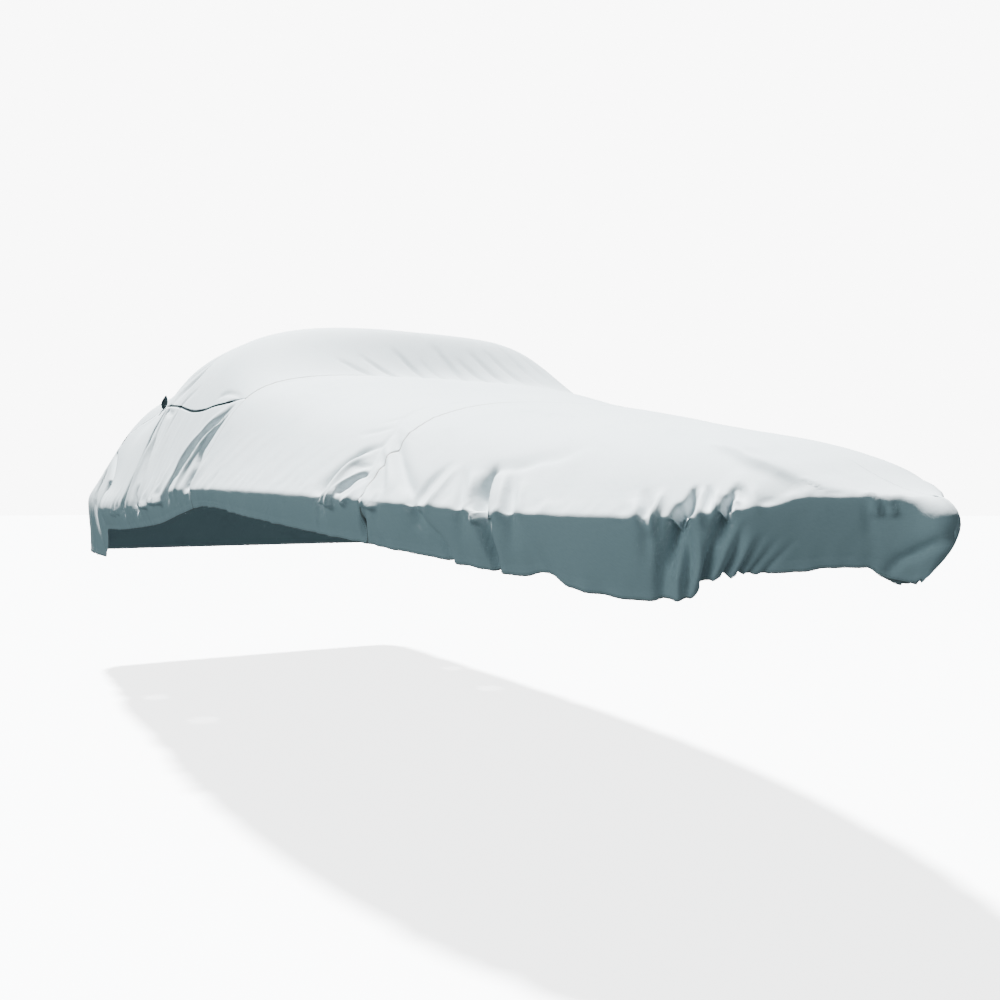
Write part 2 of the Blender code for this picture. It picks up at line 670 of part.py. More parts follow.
def add_slit_tab(side, material, collection):
    """Leaf-shaped tongue that stands up off the slit's rear end and leans inboard."""
    steps = 7
    lean = 0.20
    stands_off = 0.0042
    row = int(np.searchsorted(ROWS, FRONT_LEG_X + 0.10))
    seam = PORT_SEAM if side > 0 else STARBOARD_SEAM
    outward = hood_normals()[row, seam]
    foot = NET[row, seam] + outward * stands_off
    inboard = unit(np.array([0.55, -side, 0.0]))
    rows = []
    for k in range(steps + 1):
        up = k / steps
        half = TAB_WIDE / 2 * (0.16 + 0.84 * np.sin(np.pi * up**0.85)) if k < steps else TAB_WIDE * 0.06
        middle = foot + np.array([0.0, 0.0, TAB_TALL * up]) + inboard * lean * TAB_TALL * up
        rows.append([middle - inboard * half, middle, middle + inboard * half])
    if side > 0:
        rows = [line[::-1] for line in rows]
    name = "slit_tab_port" if side > 0 else "slit_tab_starboard"
    return add_sheet(name, np.array(rows), TAPE, material, collection)


def add_leg_cutter(name, x, side, collection):
    """Round bar through the cloth where a leg comes out, square to the wall."""
    length = 0.50
    girth = float(read(SIDE_SEAM, SIDE_SEAM_COLUMNS, "share", x))
    here = Section(x).place(np.array([side * girth]))[0]
    ahead = Section(x + 0.02).place(np.array([side * girth]))[0]
    above = Section(x).place(np.array([side * (girth - 0.03)]))[0]
    normal = np.cross(ahead - here, above - here)
    bpy.ops.mesh.primitive_cylinder_add(vertices=20, radius=LEG_OPENING / 2, depth=length)
    cutter = bpy.context.active_object
    cutter.name = name
    cutter.location = Vector(origin_shift(here))
    cutter.rotation_mode = "QUATERNION"
    cutter.rotation_quaternion = Vector(normal).to_track_quat("Z", "Y")
    cutter.hide_render = True
    cutter.display_type = "WIRE"
    for holder in list(cutter.users_collection):
        holder.objects.unlink(cutter)
    collection.objects.link(cutter)
    return cutter


def cut_opening(panel, cutter):
    cut = panel.modifiers.new(cutter.name, "BOOLEAN")
    cut.operation = "DIFFERENCE"
    cut.solver = "EXACT"
    cut.object = cutter


def main():
    clear_scene()
    parts = make_collection("boat_cover")
    cutters = make_collection("cutters")
    cloth = make_material("cover_cloth", CLOTH_COLOUR, 0.75)
    tape = make_material("closing_tape", TAPE_COLOUR, 0.70)
    body = add_body_panel(cloth, parts)
    hood = add_hood_panel(cloth, parts)
    add_bow_panel(cloth, parts)
    add_transom_panel(cloth, parts)
    for side in (-1, 1):
        hand = "port" if side > 0 else "starboard"
        for place, x in (("front", FRONT_LEG_X), ("rear", REAR_LEG_X)):
            cutter = add_leg_cutter(f"{place}_leg_{hand}_cutter", x, side, cutters)
            cut_opening(body, cutter)
            cut_opening(hood, cutter)
        add_slit_tape(side, tape, parts)
        add_slit_tab(side, tape, parts)


main()
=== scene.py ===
"""Fitted boat cover of coated cloth: four sewn sheets, with a taped slit on each side.

Metres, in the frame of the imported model: X to the bow end, Y to port, Z up. The tables give stations from
the stern end and heights from the level line of the cover's edge, and to_frame() moves them.
"""

import collections
import functools
import math

import bpy
import numpy as np
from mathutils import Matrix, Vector, noise


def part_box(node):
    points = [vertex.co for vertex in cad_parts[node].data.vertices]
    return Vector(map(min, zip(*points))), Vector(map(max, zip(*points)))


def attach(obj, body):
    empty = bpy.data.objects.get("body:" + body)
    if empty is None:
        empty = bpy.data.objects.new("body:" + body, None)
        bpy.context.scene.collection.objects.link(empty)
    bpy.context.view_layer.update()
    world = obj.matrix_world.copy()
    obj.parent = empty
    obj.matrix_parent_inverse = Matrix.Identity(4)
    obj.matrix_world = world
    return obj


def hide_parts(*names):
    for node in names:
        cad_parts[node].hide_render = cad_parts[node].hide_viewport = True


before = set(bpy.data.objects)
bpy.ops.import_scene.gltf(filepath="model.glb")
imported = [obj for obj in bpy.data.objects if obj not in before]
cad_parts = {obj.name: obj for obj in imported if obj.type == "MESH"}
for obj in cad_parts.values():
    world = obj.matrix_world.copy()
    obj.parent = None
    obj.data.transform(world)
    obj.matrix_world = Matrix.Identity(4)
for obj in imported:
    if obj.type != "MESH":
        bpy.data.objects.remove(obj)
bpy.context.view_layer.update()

# ---- sizes ----------------------------------------------------------------------------------------
STARBOARD = -1
PORT = 1
CLOTH = 0.002
TAPE = 0.0012
SIDE_SEAM_GAP = 0.0005
CROSS_SEAM_GAP = 0.0005

# The model's origin: under the crown of the hood, a little clear of the cloth.
SUPPORT_X = 2.75
SUPPORT_CLEAR = 0.004

# The hood's front: where its seam lies on the centre line and at the edge, where the slope's foot lies at
# the edge, and how long the slope is on the centre line and at the edge.
HOOD_FRONT_CENTRE = 3.95
HOOD_FRONT_EDGE = 3.82
SLOPE_FOOT_SIDE = 4.02
SLOPE_CENTRE = 0.34
SLOPE_SIDE = 0.90
CROSS_SEAM_X = 5.22

# Round leg openings, on the line of the side seam. The nodes within a cell of the rim are moved on to it.
LEG_OPENING = 0.08
FRONT_LEG_X = 1.80
REAR_LEG_X = 1.05
OPENING_CELL = 0.0065

# The doubled cloth of the hem: how wide it is, over what length its upper end fades, and how far it stands
# out. The cord in it: how far over the hem's edge it lies, half its width, and how far it stands out.
HEM_BAND = 0.029
HEM_BAND_END = 0.006
HEM_BAND_RISE = 0.0014
HEM_CORD_AT = 0.006
HEM_CORD_HALF = 0.005
HEM_CORD_RISE = 0.0022

# The drop across the stern: the cloth down it, its rows and columns, how far it bulges aft, which share of
# half a wave it does so by, how flat it stays across, and its soft ripples.
TRANSOM_DROP = 0.45
TRANSOM_ROWS = 34
TRANSOM_COLUMNS = 131
TRANSOM_BULGE = 0.045
TRANSOM_BULGE_TURN = 0.8
TRANSOM_FLAT = 4
TRANSOM_RIPPLE = 0.008
TRANSOM_RIPPLE_TURN = 0.9
TRANSOM_RIPPLES_ACROSS = 4.0
TRANSOM_RIPPLES_DOWN = 1.5
TRANSOM_RIPPLE_START = 3.0

# The tape behind the slit: from clear of the front leg opening to the slit's front end.
TAPE_WIDTH = 0.060
TAPE_FROM = FRONT_LEG_X + LEG_OPENING / 2 + 0.06
TAPE_TO = 3.74
TAPE_STEP = 0.011
TAPE_COLUMNS = 9
TAPE_UNDER = 0.0015

# The leaf-shaped tab at the slit's rear end: its size, its foot's and its point's width as shares of its
# own, how high its widest part lies, how far its lean is turned to the bow end, how much it leans, and how
# far its middle is cupped.
TAB_TALL = 0.085
TAB_WIDE = 0.040
TAB_ROWS = 20
TAB_COLUMNS = 9
TAB_FOOT = 0.16
TAB_POINT = 0.12
TAB_WIDEST = 0.85
TAB_FORWARD = 0.55
TAB_LEAN = 0.20
TAB_CUP = 0.004
TAB_SEAM_GAP = 0.02

# Floors under what is divided by, the room that counts as none, and how near two nodes are made one.
LEAST_HEIGHT = 1e-6
LEAST_LENGTH = 1e-12
NO_ROOM = 1e-9
SEAM_TOLERANCE = 0.001
DOUBLES = 0.00005

# Stands for the distance from a seam where no seam is near.
FAR_FROM_SEAM = 1.0

# One row a station: x from the stern end, half width at the edge, height of the edge and of the hem,
# how far the hem is drawn in under the edge, and how far the skirt bulges out between the two.
STATION_COLUMNS = ("x", "half_width", "edge_z", "hem_z", "tuck", "belly")
STATIONS = (
    (0.00, 1.100, -0.010, -0.440, 0.045, 0.000),
    (0.06, 1.172, -0.020, -0.440, 0.045, 0.001),
    (0.25, 1.203, -0.030, -0.440, 0.020, 0.002),
    (0.60, 1.216, -0.050, -0.445, 0.040, 0.002),
    (1.00, 1.228, -0.065, -0.440, 0.055, 0.002),
    (1.12, 1.231, -0.070, -0.380, 0.055, 0.002),
    (1.30, 1.235, -0.080, -0.240, 0.045, 0.002),
    (1.60, 1.243, -0.085, -0.230, 0.050, 0.002),
    (1.95, 1.247, -0.080, -0.222, 0.055, 0.002),
    (2.60, 1.247, -0.060, -0.190, 0.055, 0.002),
    (3.00, 1.240, -0.042, -0.165, 0.050, 0.002),
    (3.20, 1.233, -0.025, -0.150, 0.045, 0.002),
    (3.40, 1.221, 0.000, -0.125, 0.040, 0.003),
    (3.60, 1.209, 0.020, -0.100, 0.030, 0.003),
    (4.00, 1.175, 0.020, -0.060, 0.022, 0.003),
    (4.50, 1.105, 0.010, -0.100, 0.025, 0.004),
    (5.00, 1.000, -0.010, -0.145, 0.032, 0.004),
    (5.50, 0.850, -0.034, -0.195, 0.040, 0.004),
    (5.84, 0.710, -0.054, -0.235, 0.050, 0.004),
    (5.90, 0.678, -0.056, -0.218, 0.050, 0.004),
    (5.96, 0.647, -0.058, -0.260, 0.050, 0.004),
    (6.17, 0.528, -0.062, -0.285, 0.060, 0.004),
    (6.26, 0.472, -0.060, -0.268, 0.065, 0.004),
    (6.31, 0.436, -0.050, -0.220, 0.068, 0.004),
    (6.36, 0.391, -0.042, -0.212, 0.070, 0.004),
    (6.42, 0.313, -0.030, -0.205, 0.070, 0.004),
    (6.46, 0.258, -0.012, -0.200, 0.070, 0.005),
    (6.50, 0.203, -0.011, -0.190, 0.070, 0.006),
    (6.555, 0.129, -0.011, -0.188, 0.070, 0.006),
    (6.580, 0.094, -0.011, -0.214, 0.070, 0.010),
    (6.610, 0.052, -0.011, -0.224, 0.066, 0.024),
    (6.632, 0.020, -0.011, -0.224, 0.056, 0.052),
    (6.640, 0.000, -0.012, -0.224, 0.050, 0.066),
)

# The cloth's low form, from stern to bow: station, height at the centre line, and fullness of the
# section (2 is an ellipse, more is squarer at the shoulder).
LOW_COLUMNS = ("x", "crown_z", "fullness")
LOW_FORM = (
    (0.00, 0.080, 2.20),
    (2.60, 0.580, 3.00),
    (3.30, 0.572, 3.30),
    (3.60, 0.565, 3.20),
    (3.95, 0.545, 3.00),
    (4.60, 0.420, 2.60),
    (5.30, 0.300, 2.25),
    (5.80, 0.215, 2.05),
    (6.20, 0.145, 2.00),
    (6.35, 0.095, 2.05),
    (6.46, 0.042, 2.15),
    (6.55, 0.008, 2.30),
    (6.64, -0.012, 2.30),
)

# The hood over the low form, with the same columns.
HOOD_FORM = (
    (0.00, 0.080, 2.10),
    (0.10, 0.130, 2.20),
    (0.30, 0.240, 2.40),
    (0.60, 0.430, 2.60),
    (1.15, 0.740, 2.60),
    (1.60, 0.802, 2.40),
    (2.00, 0.845, 2.45),
    (2.60, 0.900, 2.60),
    (3.20, 0.880, 2.80),
    (3.60, 0.820, 2.93),
    (4.60, 0.600, 3.10),
)

# How steeply the cloth comes up from the edge, where it is pulled straight: rise over run.
STEEPNESS_COLUMNS = ("x", "steepness")
WALLS = (
    (0.00, 1.80),
    (0.60, 2.70),
    (1.15, 2.80),
    (1.60, 2.50),
    (2.00, 2.50),
    (2.60, 2.60),
    (3.30, 2.40),
    (3.90, 1.90),
    (4.50, 1.35),
    (5.20, 1.05),
    (6.00, 0.90),
    (6.64, 0.90),
)
WALL_BLEND = 6.0

# Radius, more or less, by which the cloth rounds its edge. It is slack and round at the stern end.
ROUNDING_COLUMNS = ("x", "radius")
ROUNDING = (
    (0.00, 0.070),
    (1.60, 0.075),
    (2.60, 0.050),
    (3.30, 0.028),
    (3.70, 0.008),
    (6.40, 0.007),
    (6.64, 0.012),
)

# Where the section through an edge station meets the centre line.
FAN_COLUMNS = ("edge_x", "centre_x")
FAN = (
    (0.00, 0.00),
    (3.00, 3.00),
    (HOOD_FRONT_EDGE, HOOD_FRONT_CENTRE),
    (4.50, 4.53),
    (CROSS_SEAM_X, 5.05),
    (5.60, 5.50),
    (6.20, 6.06),
    (6.64, 6.35),
)

# The side seam with the slit in it, as a share of the cloth's length from the centre line to the edge.
SIDE_SEAM_COLUMNS = ("x", "share")
SIDE_SEAM = (
    (0.00, 0.93),
    (0.50, 0.82),
    (1.05, 0.715),
    (1.70, 0.605),
    (2.00, 0.615),
    (2.35, 0.650),
    (2.88, 0.694),
    (3.45, 0.745),
    (3.64, 0.720),
    (3.82, 0.680),
    (4.60, 0.680),
    (6.64, 0.660),
)

# How far the slit gapes along its length. It is pulled open at the two puckers.
SLIT_COLUMNS = ("x", "gap")
SLIT = (
    (1.80, 0.0100),
    (2.60, 0.0110),
    (2.83, 0.0100),
    (2.88, 0.0200),
    (2.93, 0.0110),
    (3.30, 0.0130),
    (3.64, 0.0120),
    (3.70, 0.0200),
    (3.74, 0.0060),
    (3.77, SIDE_SEAM_GAP),
)
SLIT_END = 0.06

# Rows of the sheets' meshes: from this edge station to that one, and the length of a step. The strip is
# the cloth between the hood's front seam and the cross seam.
SPAN_COLUMNS = ("from_x", "to_x", "step")
AFT_SPANS = (
    (0.00, 1.70, 0.0220),
    (1.70, 2.30, 0.0150),
    (2.30, HOOD_FRONT_EDGE, 0.0112),
)
STRIP_SPANS = (
    (HOOD_FRONT_EDGE, 4.95, 0.0132),
    (4.95, CROSS_SEAM_X, 0.0078),
)
BOW_SPANS = (
    (CROSS_SEAM_X, 6.00, 0.0086),
    (6.00, 6.12, 0.0078),
    (6.12, 6.42, 0.0056),
    (6.42, 6.64, 0.0060),
)

# Columns of the sheets' meshes, counted on the starboard side and on the port side: a top runs from the
# centre line to the side seam's line, a wall on to the edge, and a skirt on to the hem.
HOOD_TOP_COLUMNS = (106, 84)
STRIP_TOP_COLUMNS = (60, 46)
BODY_WALL_COLUMNS = (40, 24)
BODY_SKIRT_COLUMNS = (22, 13)
BOW_TOP_COLUMNS = (70, 46)
BOW_WALL_COLUMNS = (30, 20)
BOW_SKIRT_COLUMNS = (26, 16)

# Creases, on the cloth's own places: an edge station and a girth, which is 0 on the centre line, 1 on
# the edge and 2 on the hem, and negative to starboard. Width is the half width at the two ends. Height is
# at start, middle and end, and a positive one is a ridge. Lean makes one flank the steeper.
CREASE_COLUMNS = ("path", "width", "height", "lean")
SLIT_CREASES = (
    # from the slit's front pucker down over the edge: trough, ridge, trough
    (((3.77, -.715), (3.71, -.78), (3.61, -.83), (3.57, -.88), (3.51, -.93), (3.45, -.97), (3.42, -1.12),
      (3.42, -1.60)),
     (.010, .038), (-.008, -.048, -.002), -.35),
    (((3.70, -.74), (3.58, -.82), (3.50, -.88), (3.42, -.94), (3.36, -1.02), (3.34, -1.20)),
     (.012, .026), (.003, .015, .001), 0.),
    (((3.78, -.73), (3.74, -.81), (3.71, -.88), (3.74, -.93), (3.75, -.98), (3.78, -1.15), (3.78, -1.60)),
     (.008, .030), (-.006, -.044, -.002), .35),
    (((3.75, -.78), (3.68, -.84), (3.65, -.90), (3.62, -.97), (3.60, -1.10), (3.60, -1.30)),
     (.008, .020), (.003, .017, .004), 0.),
    (((3.84, -.90), (3.85, -.97), (3.88, -1.10)), (.014, .018), (.002, .009, .002), 0.),
    (((3.43, -1.10), (3.48, -1.54)), (.030, .022), (-.012, -.007, -.002), 0.),
    # from the front leg opening down over the edge
    (((2.50, -.675), (2.48, -.75), (2.56, -.86), (2.62, -.93), (2.62, -.99), (2.71, -1.17), (2.71, -1.60)),
     (.018, .052), (-.024, -.110, -.002), -.35),
    (((2.62, -.72), (2.70, -.83), (2.78, -.93), (2.80, -1.00), (2.84, -1.20)),
     (.012, .030), (.003, .014, .004), 0.),
    (((2.36, -.67), (2.29, -.76), (2.28, -.88), (2.23, -.95), (2.17, -1.12), (2.17, -1.60)),
     (.018, .052), (-.022, -.090, -.002), .35),
    (((2.44, -.72), (2.43, -.86), (2.43, -.98), (2.45, -1.20)), (.014, .034), (.003, .019, .005), 0.),
    # thin ridges that spill over the edge
    (((2.95, -.94), (2.97, -1.02), (3.00, -1.22)), (.020, .010), (.005, .018, .042), 0.),
    (((3.14, -.95), (3.16, -1.02), (3.18, -1.18)), (.018, .010), (.004, .014, .034), 0.),
    (((3.27, -.92), (3.29, -1.02), (3.33, -1.28)), (.022, .010), (.006, .022, .050), 0.),
    (((2.04, -.94), (2.02, -1.02), (2.04, -1.30)), (.024, .008), (.003, .013, .032), 0.),
    (((1.88, -.94), (1.88, -1.02), (1.90, -1.34)), (.024, .008), (.003, .013, .032), 0.),
    # rear leg opening and the lobe that bulges over the edge
    (((.95, -.77), (1.22, -.86), (1.33, -.93), (1.20, -.98), (1.20, -1.60)),
     (.022, .050), (-.020, -.060, -.002), -.35),
    (((1.12, -1.00), (1.45, -1.06), (1.86, -1.00)), (.090, .110), (.004, .026, .006), 0.),
    (((.80, -.85), (.72, -1.00), (.95, -1.50)), (.040, .060), (-.012, -.046, -.012), 0.),
    (((1.02, -1.10), (1.06, -1.60), (1.10, -1.95)), (.040, .030), (.004, .010, .004), -.4),
    # short creases that run into the puckers
    (((2.88, -.69), (2.98, -.665), (3.12, -.645)), (.010, .020), (-.008, -.005, -.001), 0.),
    (((2.86, -.71), (2.80, -.76), (2.78, -.82)), (.010, .016), (-.006, -.005, -.001), 0.),
    (((3.58, -.700), (3.60, -.690), (3.64, -.682), (3.71, -.678), (3.76, -.682)),
     (.012, .010), (-.007, -.008, -.004), .3),
    (((3.70, -.705), (3.76, -.690), (3.80, -.675)), (.008, .008), (-.008, -.006, -.001), 0.),
    (((2.52, -.68), (2.64, -.70), (2.76, -.71)), (.016, .016), (-.010, -.012, -.004), 0.),
)
HOOD_CREASES = (
    # soft hollow between the two leg openings, and drag lines over the hood's shoulder
    (((1.25, -.66), (1.70, -.63), (2.20, -.62)), (.130, .130), (-.010, -.026, -.010), 0.),
    (((2.95, -.49), (2.90, -.58), (2.62, -.645)), (.016, .040), (-.006, -.014, -.006), .3),
    (((3.00, -.44), (2.84, -.53), (2.44, -.60)), (.014, .034), (-.004, -.009, -.004), .3),
    (((2.80, -.42), (2.62, -.52), (2.36, -.58)), (.014, .030), (-.004, -.007, -.003), .3),
    (((2.42, -.52), (2.36, -.58), (2.36, -.635)), (.014, .030), (-.006, -.010, -.008), 0.),
    (((3.84, -.56), (3.86, -.54)), (.014, .014), (-.003, -.004, -.003), 0.),
    # wrinkles down the hood's front slope
    (((3.68, -.33), (3.78, -.27), (3.86, -.23)), (.014, .018), (-.002, -.013, -.005), .3),
    (((3.66, -.25), (3.77, -.19), (3.88, -.14)), (.012, .016), (-.002, -.012, -.005), -.3),
    (((3.64, -.13), (3.76, -.08), (3.88, -.05)), (.014, .018), (-.003, -.016, -.006), .3),
    (((3.68, -.05), (3.78, -.01), (3.88, .02)), (.010, .014), (-.002, -.009, -.004), .3),
    (((3.60, .02), (3.74, .07), (3.86, .10)), (.014, .020), (-.002, -.016, -.006), -.3),
    (((3.66, .09), (3.77, .15), (3.87, .20)), (.012, .016), (-.002, -.013, -.005), .3),
    (((3.62, .15), (3.75, .22), (3.86, .26)), (.014, .018), (-.002, -.016, -.006), .3),
    (((3.60, .22), (3.70, .28), (3.80, .34)), (.014, .018), (-.002, -.013, -.005), 0.),
    (((3.52, .28), (3.66, .36), (3.78, .42)), (.016, .020), (-.002, -.013, -.005), 0.),
    (((3.50, .36), (3.62, .44), (3.74, .50)), (.016, .022), (-.002, -.013, -.005), 0.),
    # across the rear slope
    (((.70, -.60), (.95, .0), (.65, .55)), (.140, .140), (-.006, -.020, -.006), 0.),
    (((1.15, -.55), (1.22, -.10), (1.12, .45)), (.080, .090), (.003, .010, .003), 0.),
    (((.30, -.45), (.42, .05), (.28, .50)), (.080, .090), (-.003, -.009, -.003), 0.),
)
SEAM_CREASES = (
    # puckers and folds that run into the cross seam
    (((5.05, -.53), (5.08, -.62), (5.13, -.71), (5.14, -.78), (5.16, -.86), (5.18, -.92), (5.22, -.99),
      (5.22, -1.60)),
     (.010, .016), (-.003, -.007, -.002), 0.),
    (((5.13, -.79), (5.07, -.82), (5.04, -.86), (5.02, -.89), (5.00, -.93), (4.99, -.97), (5.01, -1.04),
      (5.01, -1.60)),
     (.012, .024), (-.007, -.025, -.002), -.4),
    (((5.12, -.83), (5.06, -.87), (5.04, -.93), (5.04, -1.00), (5.05, -1.18)),
     (.014, .014), (.003, .016, .001), 0.),
    (((5.15, -.87), (5.12, -.875), (5.08, -.885)), (.010, .014), (-.006, -.009, -.002), 0.),
    (((5.165, -.905), (5.13, -.93), (5.105, -.96), (5.09, -.985)),
     (.007, .015), (-.014, -.060, -.006), -.3),
    (((5.16, -.89), (5.12, -.915), (5.085, -.95), (5.07, -1.00), (5.07, -1.20)),
     (.013, .009), (.004, .016, .036), 0.),
    (((5.15, -.72), (5.26, -.82), (5.36, -.91), (5.44, -.99), (5.46, -1.20), (5.50, -1.60)),
     (.014, .024), (-.005, -.024, -.002), .4),
    (((5.16, -.78), (5.25, -.86), (5.33, -.95), (5.36, -1.02), (5.37, -1.16)),
     (.016, .014), (.002, .012, .001), 0.),
    (((5.17, -.81), (5.24, -.88), (5.28, -.95), (5.29, -1.01), (5.29, -1.60)),
     (.010, .016), (-.003, -.010, -.002), .3),
    (((5.19, -.90), (5.22, -.95), (5.25, -1.00), (5.28, -1.16)), (.012, .008), (.003, .012, .028), 0.),
    (((5.07, -.64), (5.04, -.665), (5.02, -.68)), (.010, .012), (-.003, -.004, -.001), 0.),
    (((5.10, -.70), (5.02, -.735), (4.96, -.75)), (.012, .016), (-.003, -.005, -.001), 0.),
    (((5.17, -.97), (5.15, -1.04), (5.14, -1.13)), (.010, .008), (.003, .010, .024), 0.),
    (((5.21, -.98), (5.23, -1.04), (5.24, -1.12)), (.010, .008), (.003, .010, .022), 0.),
    (((5.45, -.94), (5.47, -1.00), (5.47, -1.14)), (.016, .008), (.002, .007, .014), 0.),
    (((5.00, -1.02), (4.98, -1.40), (4.97, -1.86)), (.010, .010), (-.007, -.006, -.004), .4),
    (((5.03, -.98), (5.02, -1.06), (5.02, -1.15)), (.010, .008), (.003, .012, .026), 0.),
)
BOW_CREASES = (
    # cluster over the edge between the cross seam and the bow end
    (((5.49, -.83), (5.47, -.91), (5.46, -.99), (5.46, -1.08), (5.46, -1.60)),
     (.016, .036), (-.003, -.016, -.002), .3),
    (((5.53, -.83), (5.53, -.92), (5.52, -1.02), (5.52, -1.16)), (.012, .012), (.002, .013, .001), 0.),
    (((5.56, -.84), (5.60, -.91), (5.63, -.99), (5.64, -1.07), (5.64, -1.60)),
     (.012, .024), (-.003, -.014, -.002), .3),
    (((5.60, -.84), (5.63, -.91), (5.655, -1.00), (5.67, -1.18)), (.011, .010), (.002, .015, .001), 0.),
    (((5.665, -.81), (5.667, -.85), (5.680, -.91), (5.700, -.97), (5.712, -1.02)),
     (.012, .030), (-.012, -.058, -.030), -.35),
    (((5.712, -1.04), (5.718, -1.20), (5.728, -1.50), (5.740, -1.98)),
     (.022, .010), (-.030, -.020, -.012), .35),
    (((5.668, -.94), (5.678, -1.01), (5.690, -1.20)), (.012, .008), (.005, .016, .034), 0.),
    (((5.715, -.83), (5.745, -.91), (5.770, -1.00), (5.775, -1.16)), (.014, .010), (.002, .017, .001), 0.),
    (((5.73, -.81), (5.77, -.90), (5.80, -.98), (5.81, -1.10), (5.81, -1.60)),
     (.012, .024), (-.003, -.020, -.002), .2),
    (((5.79, -.86), (5.82, -.95), (5.84, -1.02), (5.84, -1.14)), (.014, .010), (.002, .011, .001), 0.),
    (((5.66, -.82), (5.75, -.78), (5.79, -.74), (5.84, -.71), (5.88, -.61)),
     (.026, .040), (-.008, -.009, -.002), .3),
    # deep notches between lobes that hang over the edge
    (((6.15, -.87), (6.165, -.93), (6.17, -1.00), (6.17, -1.60)), (.014, .020), (-.004, -.014, -.002), 0.),
    (((6.13, -.90), (6.150, -1.00), (6.168, -1.14)), (.020, .014), (.003, .016, .012), 0.),
    (((6.19, -.86), (6.190, -.98), (6.185, -1.16)), (.012, .012), (.003, .018, .008), 0.),
    (((6.264, -.84), (6.263, -.89), (6.255, -.95), (6.240, -1.02), (6.215, -1.70)),
     (.010, .032), (-.012, -.074, -.008), .35),
    (((6.286, -.84), (6.290, -.94), (6.292, -1.03), (6.296, -1.18)), (.010, .010), (.004, .022, .006), 0.),
    (((6.298, -.83), (6.305, -.88), (6.309, -.95)), (.009, .012), (-.006, -.016, -.008), 0.),
    (((6.318, -.86), (6.322, -.96), (6.327, -1.09)), (.010, .010), (.003, .016, .006), 0.),
    (((6.351, -.86), (6.349, -.91), (6.341, -.97), (6.325, -1.50)),
     (.009, .021), (-.011, -.056, -.006), .35),
    (((6.357, -.88), (6.355, -.97), (6.352, -1.14)), (.009, .009), (.004, .018, .006), 0.),
    (((6.360, -.83), (6.368, -.88), (6.373, -.94)), (.009, .011), (-.006, -.015, -.006), 0.),
    (((6.385, -.86), (6.388, -.95), (6.392, -1.04)), (.012, .012), (.002, .008, .003), 0.),
    # long fold over the fore part
    (((6.22, -.44), (6.327, -.53), (6.383, -.64), (6.42, -.72), (6.46, -.84)),
     (.030, .034), (.005, .022, .012), .4),
    (((6.553, -.97), (6.556, -1.06), (6.560, -1.20)), (.009, .006), (.004, .014, .028), 0.),
    (((6.572, -.97), (6.575, -1.06), (6.580, -1.17)), (.008, .006), (.004, .012, .024), 0.),
    # drag lines low on the far side of the fore part
    (((5.20, .10), (5.45, .16), (5.70, .18)), (.020, .024), (-.002, -.005, -.002), 0.),
    (((5.30, .24), (5.55, .28), (5.80, .28)), (.020, .024), (-.002, -.005, -.002), 0.),
)
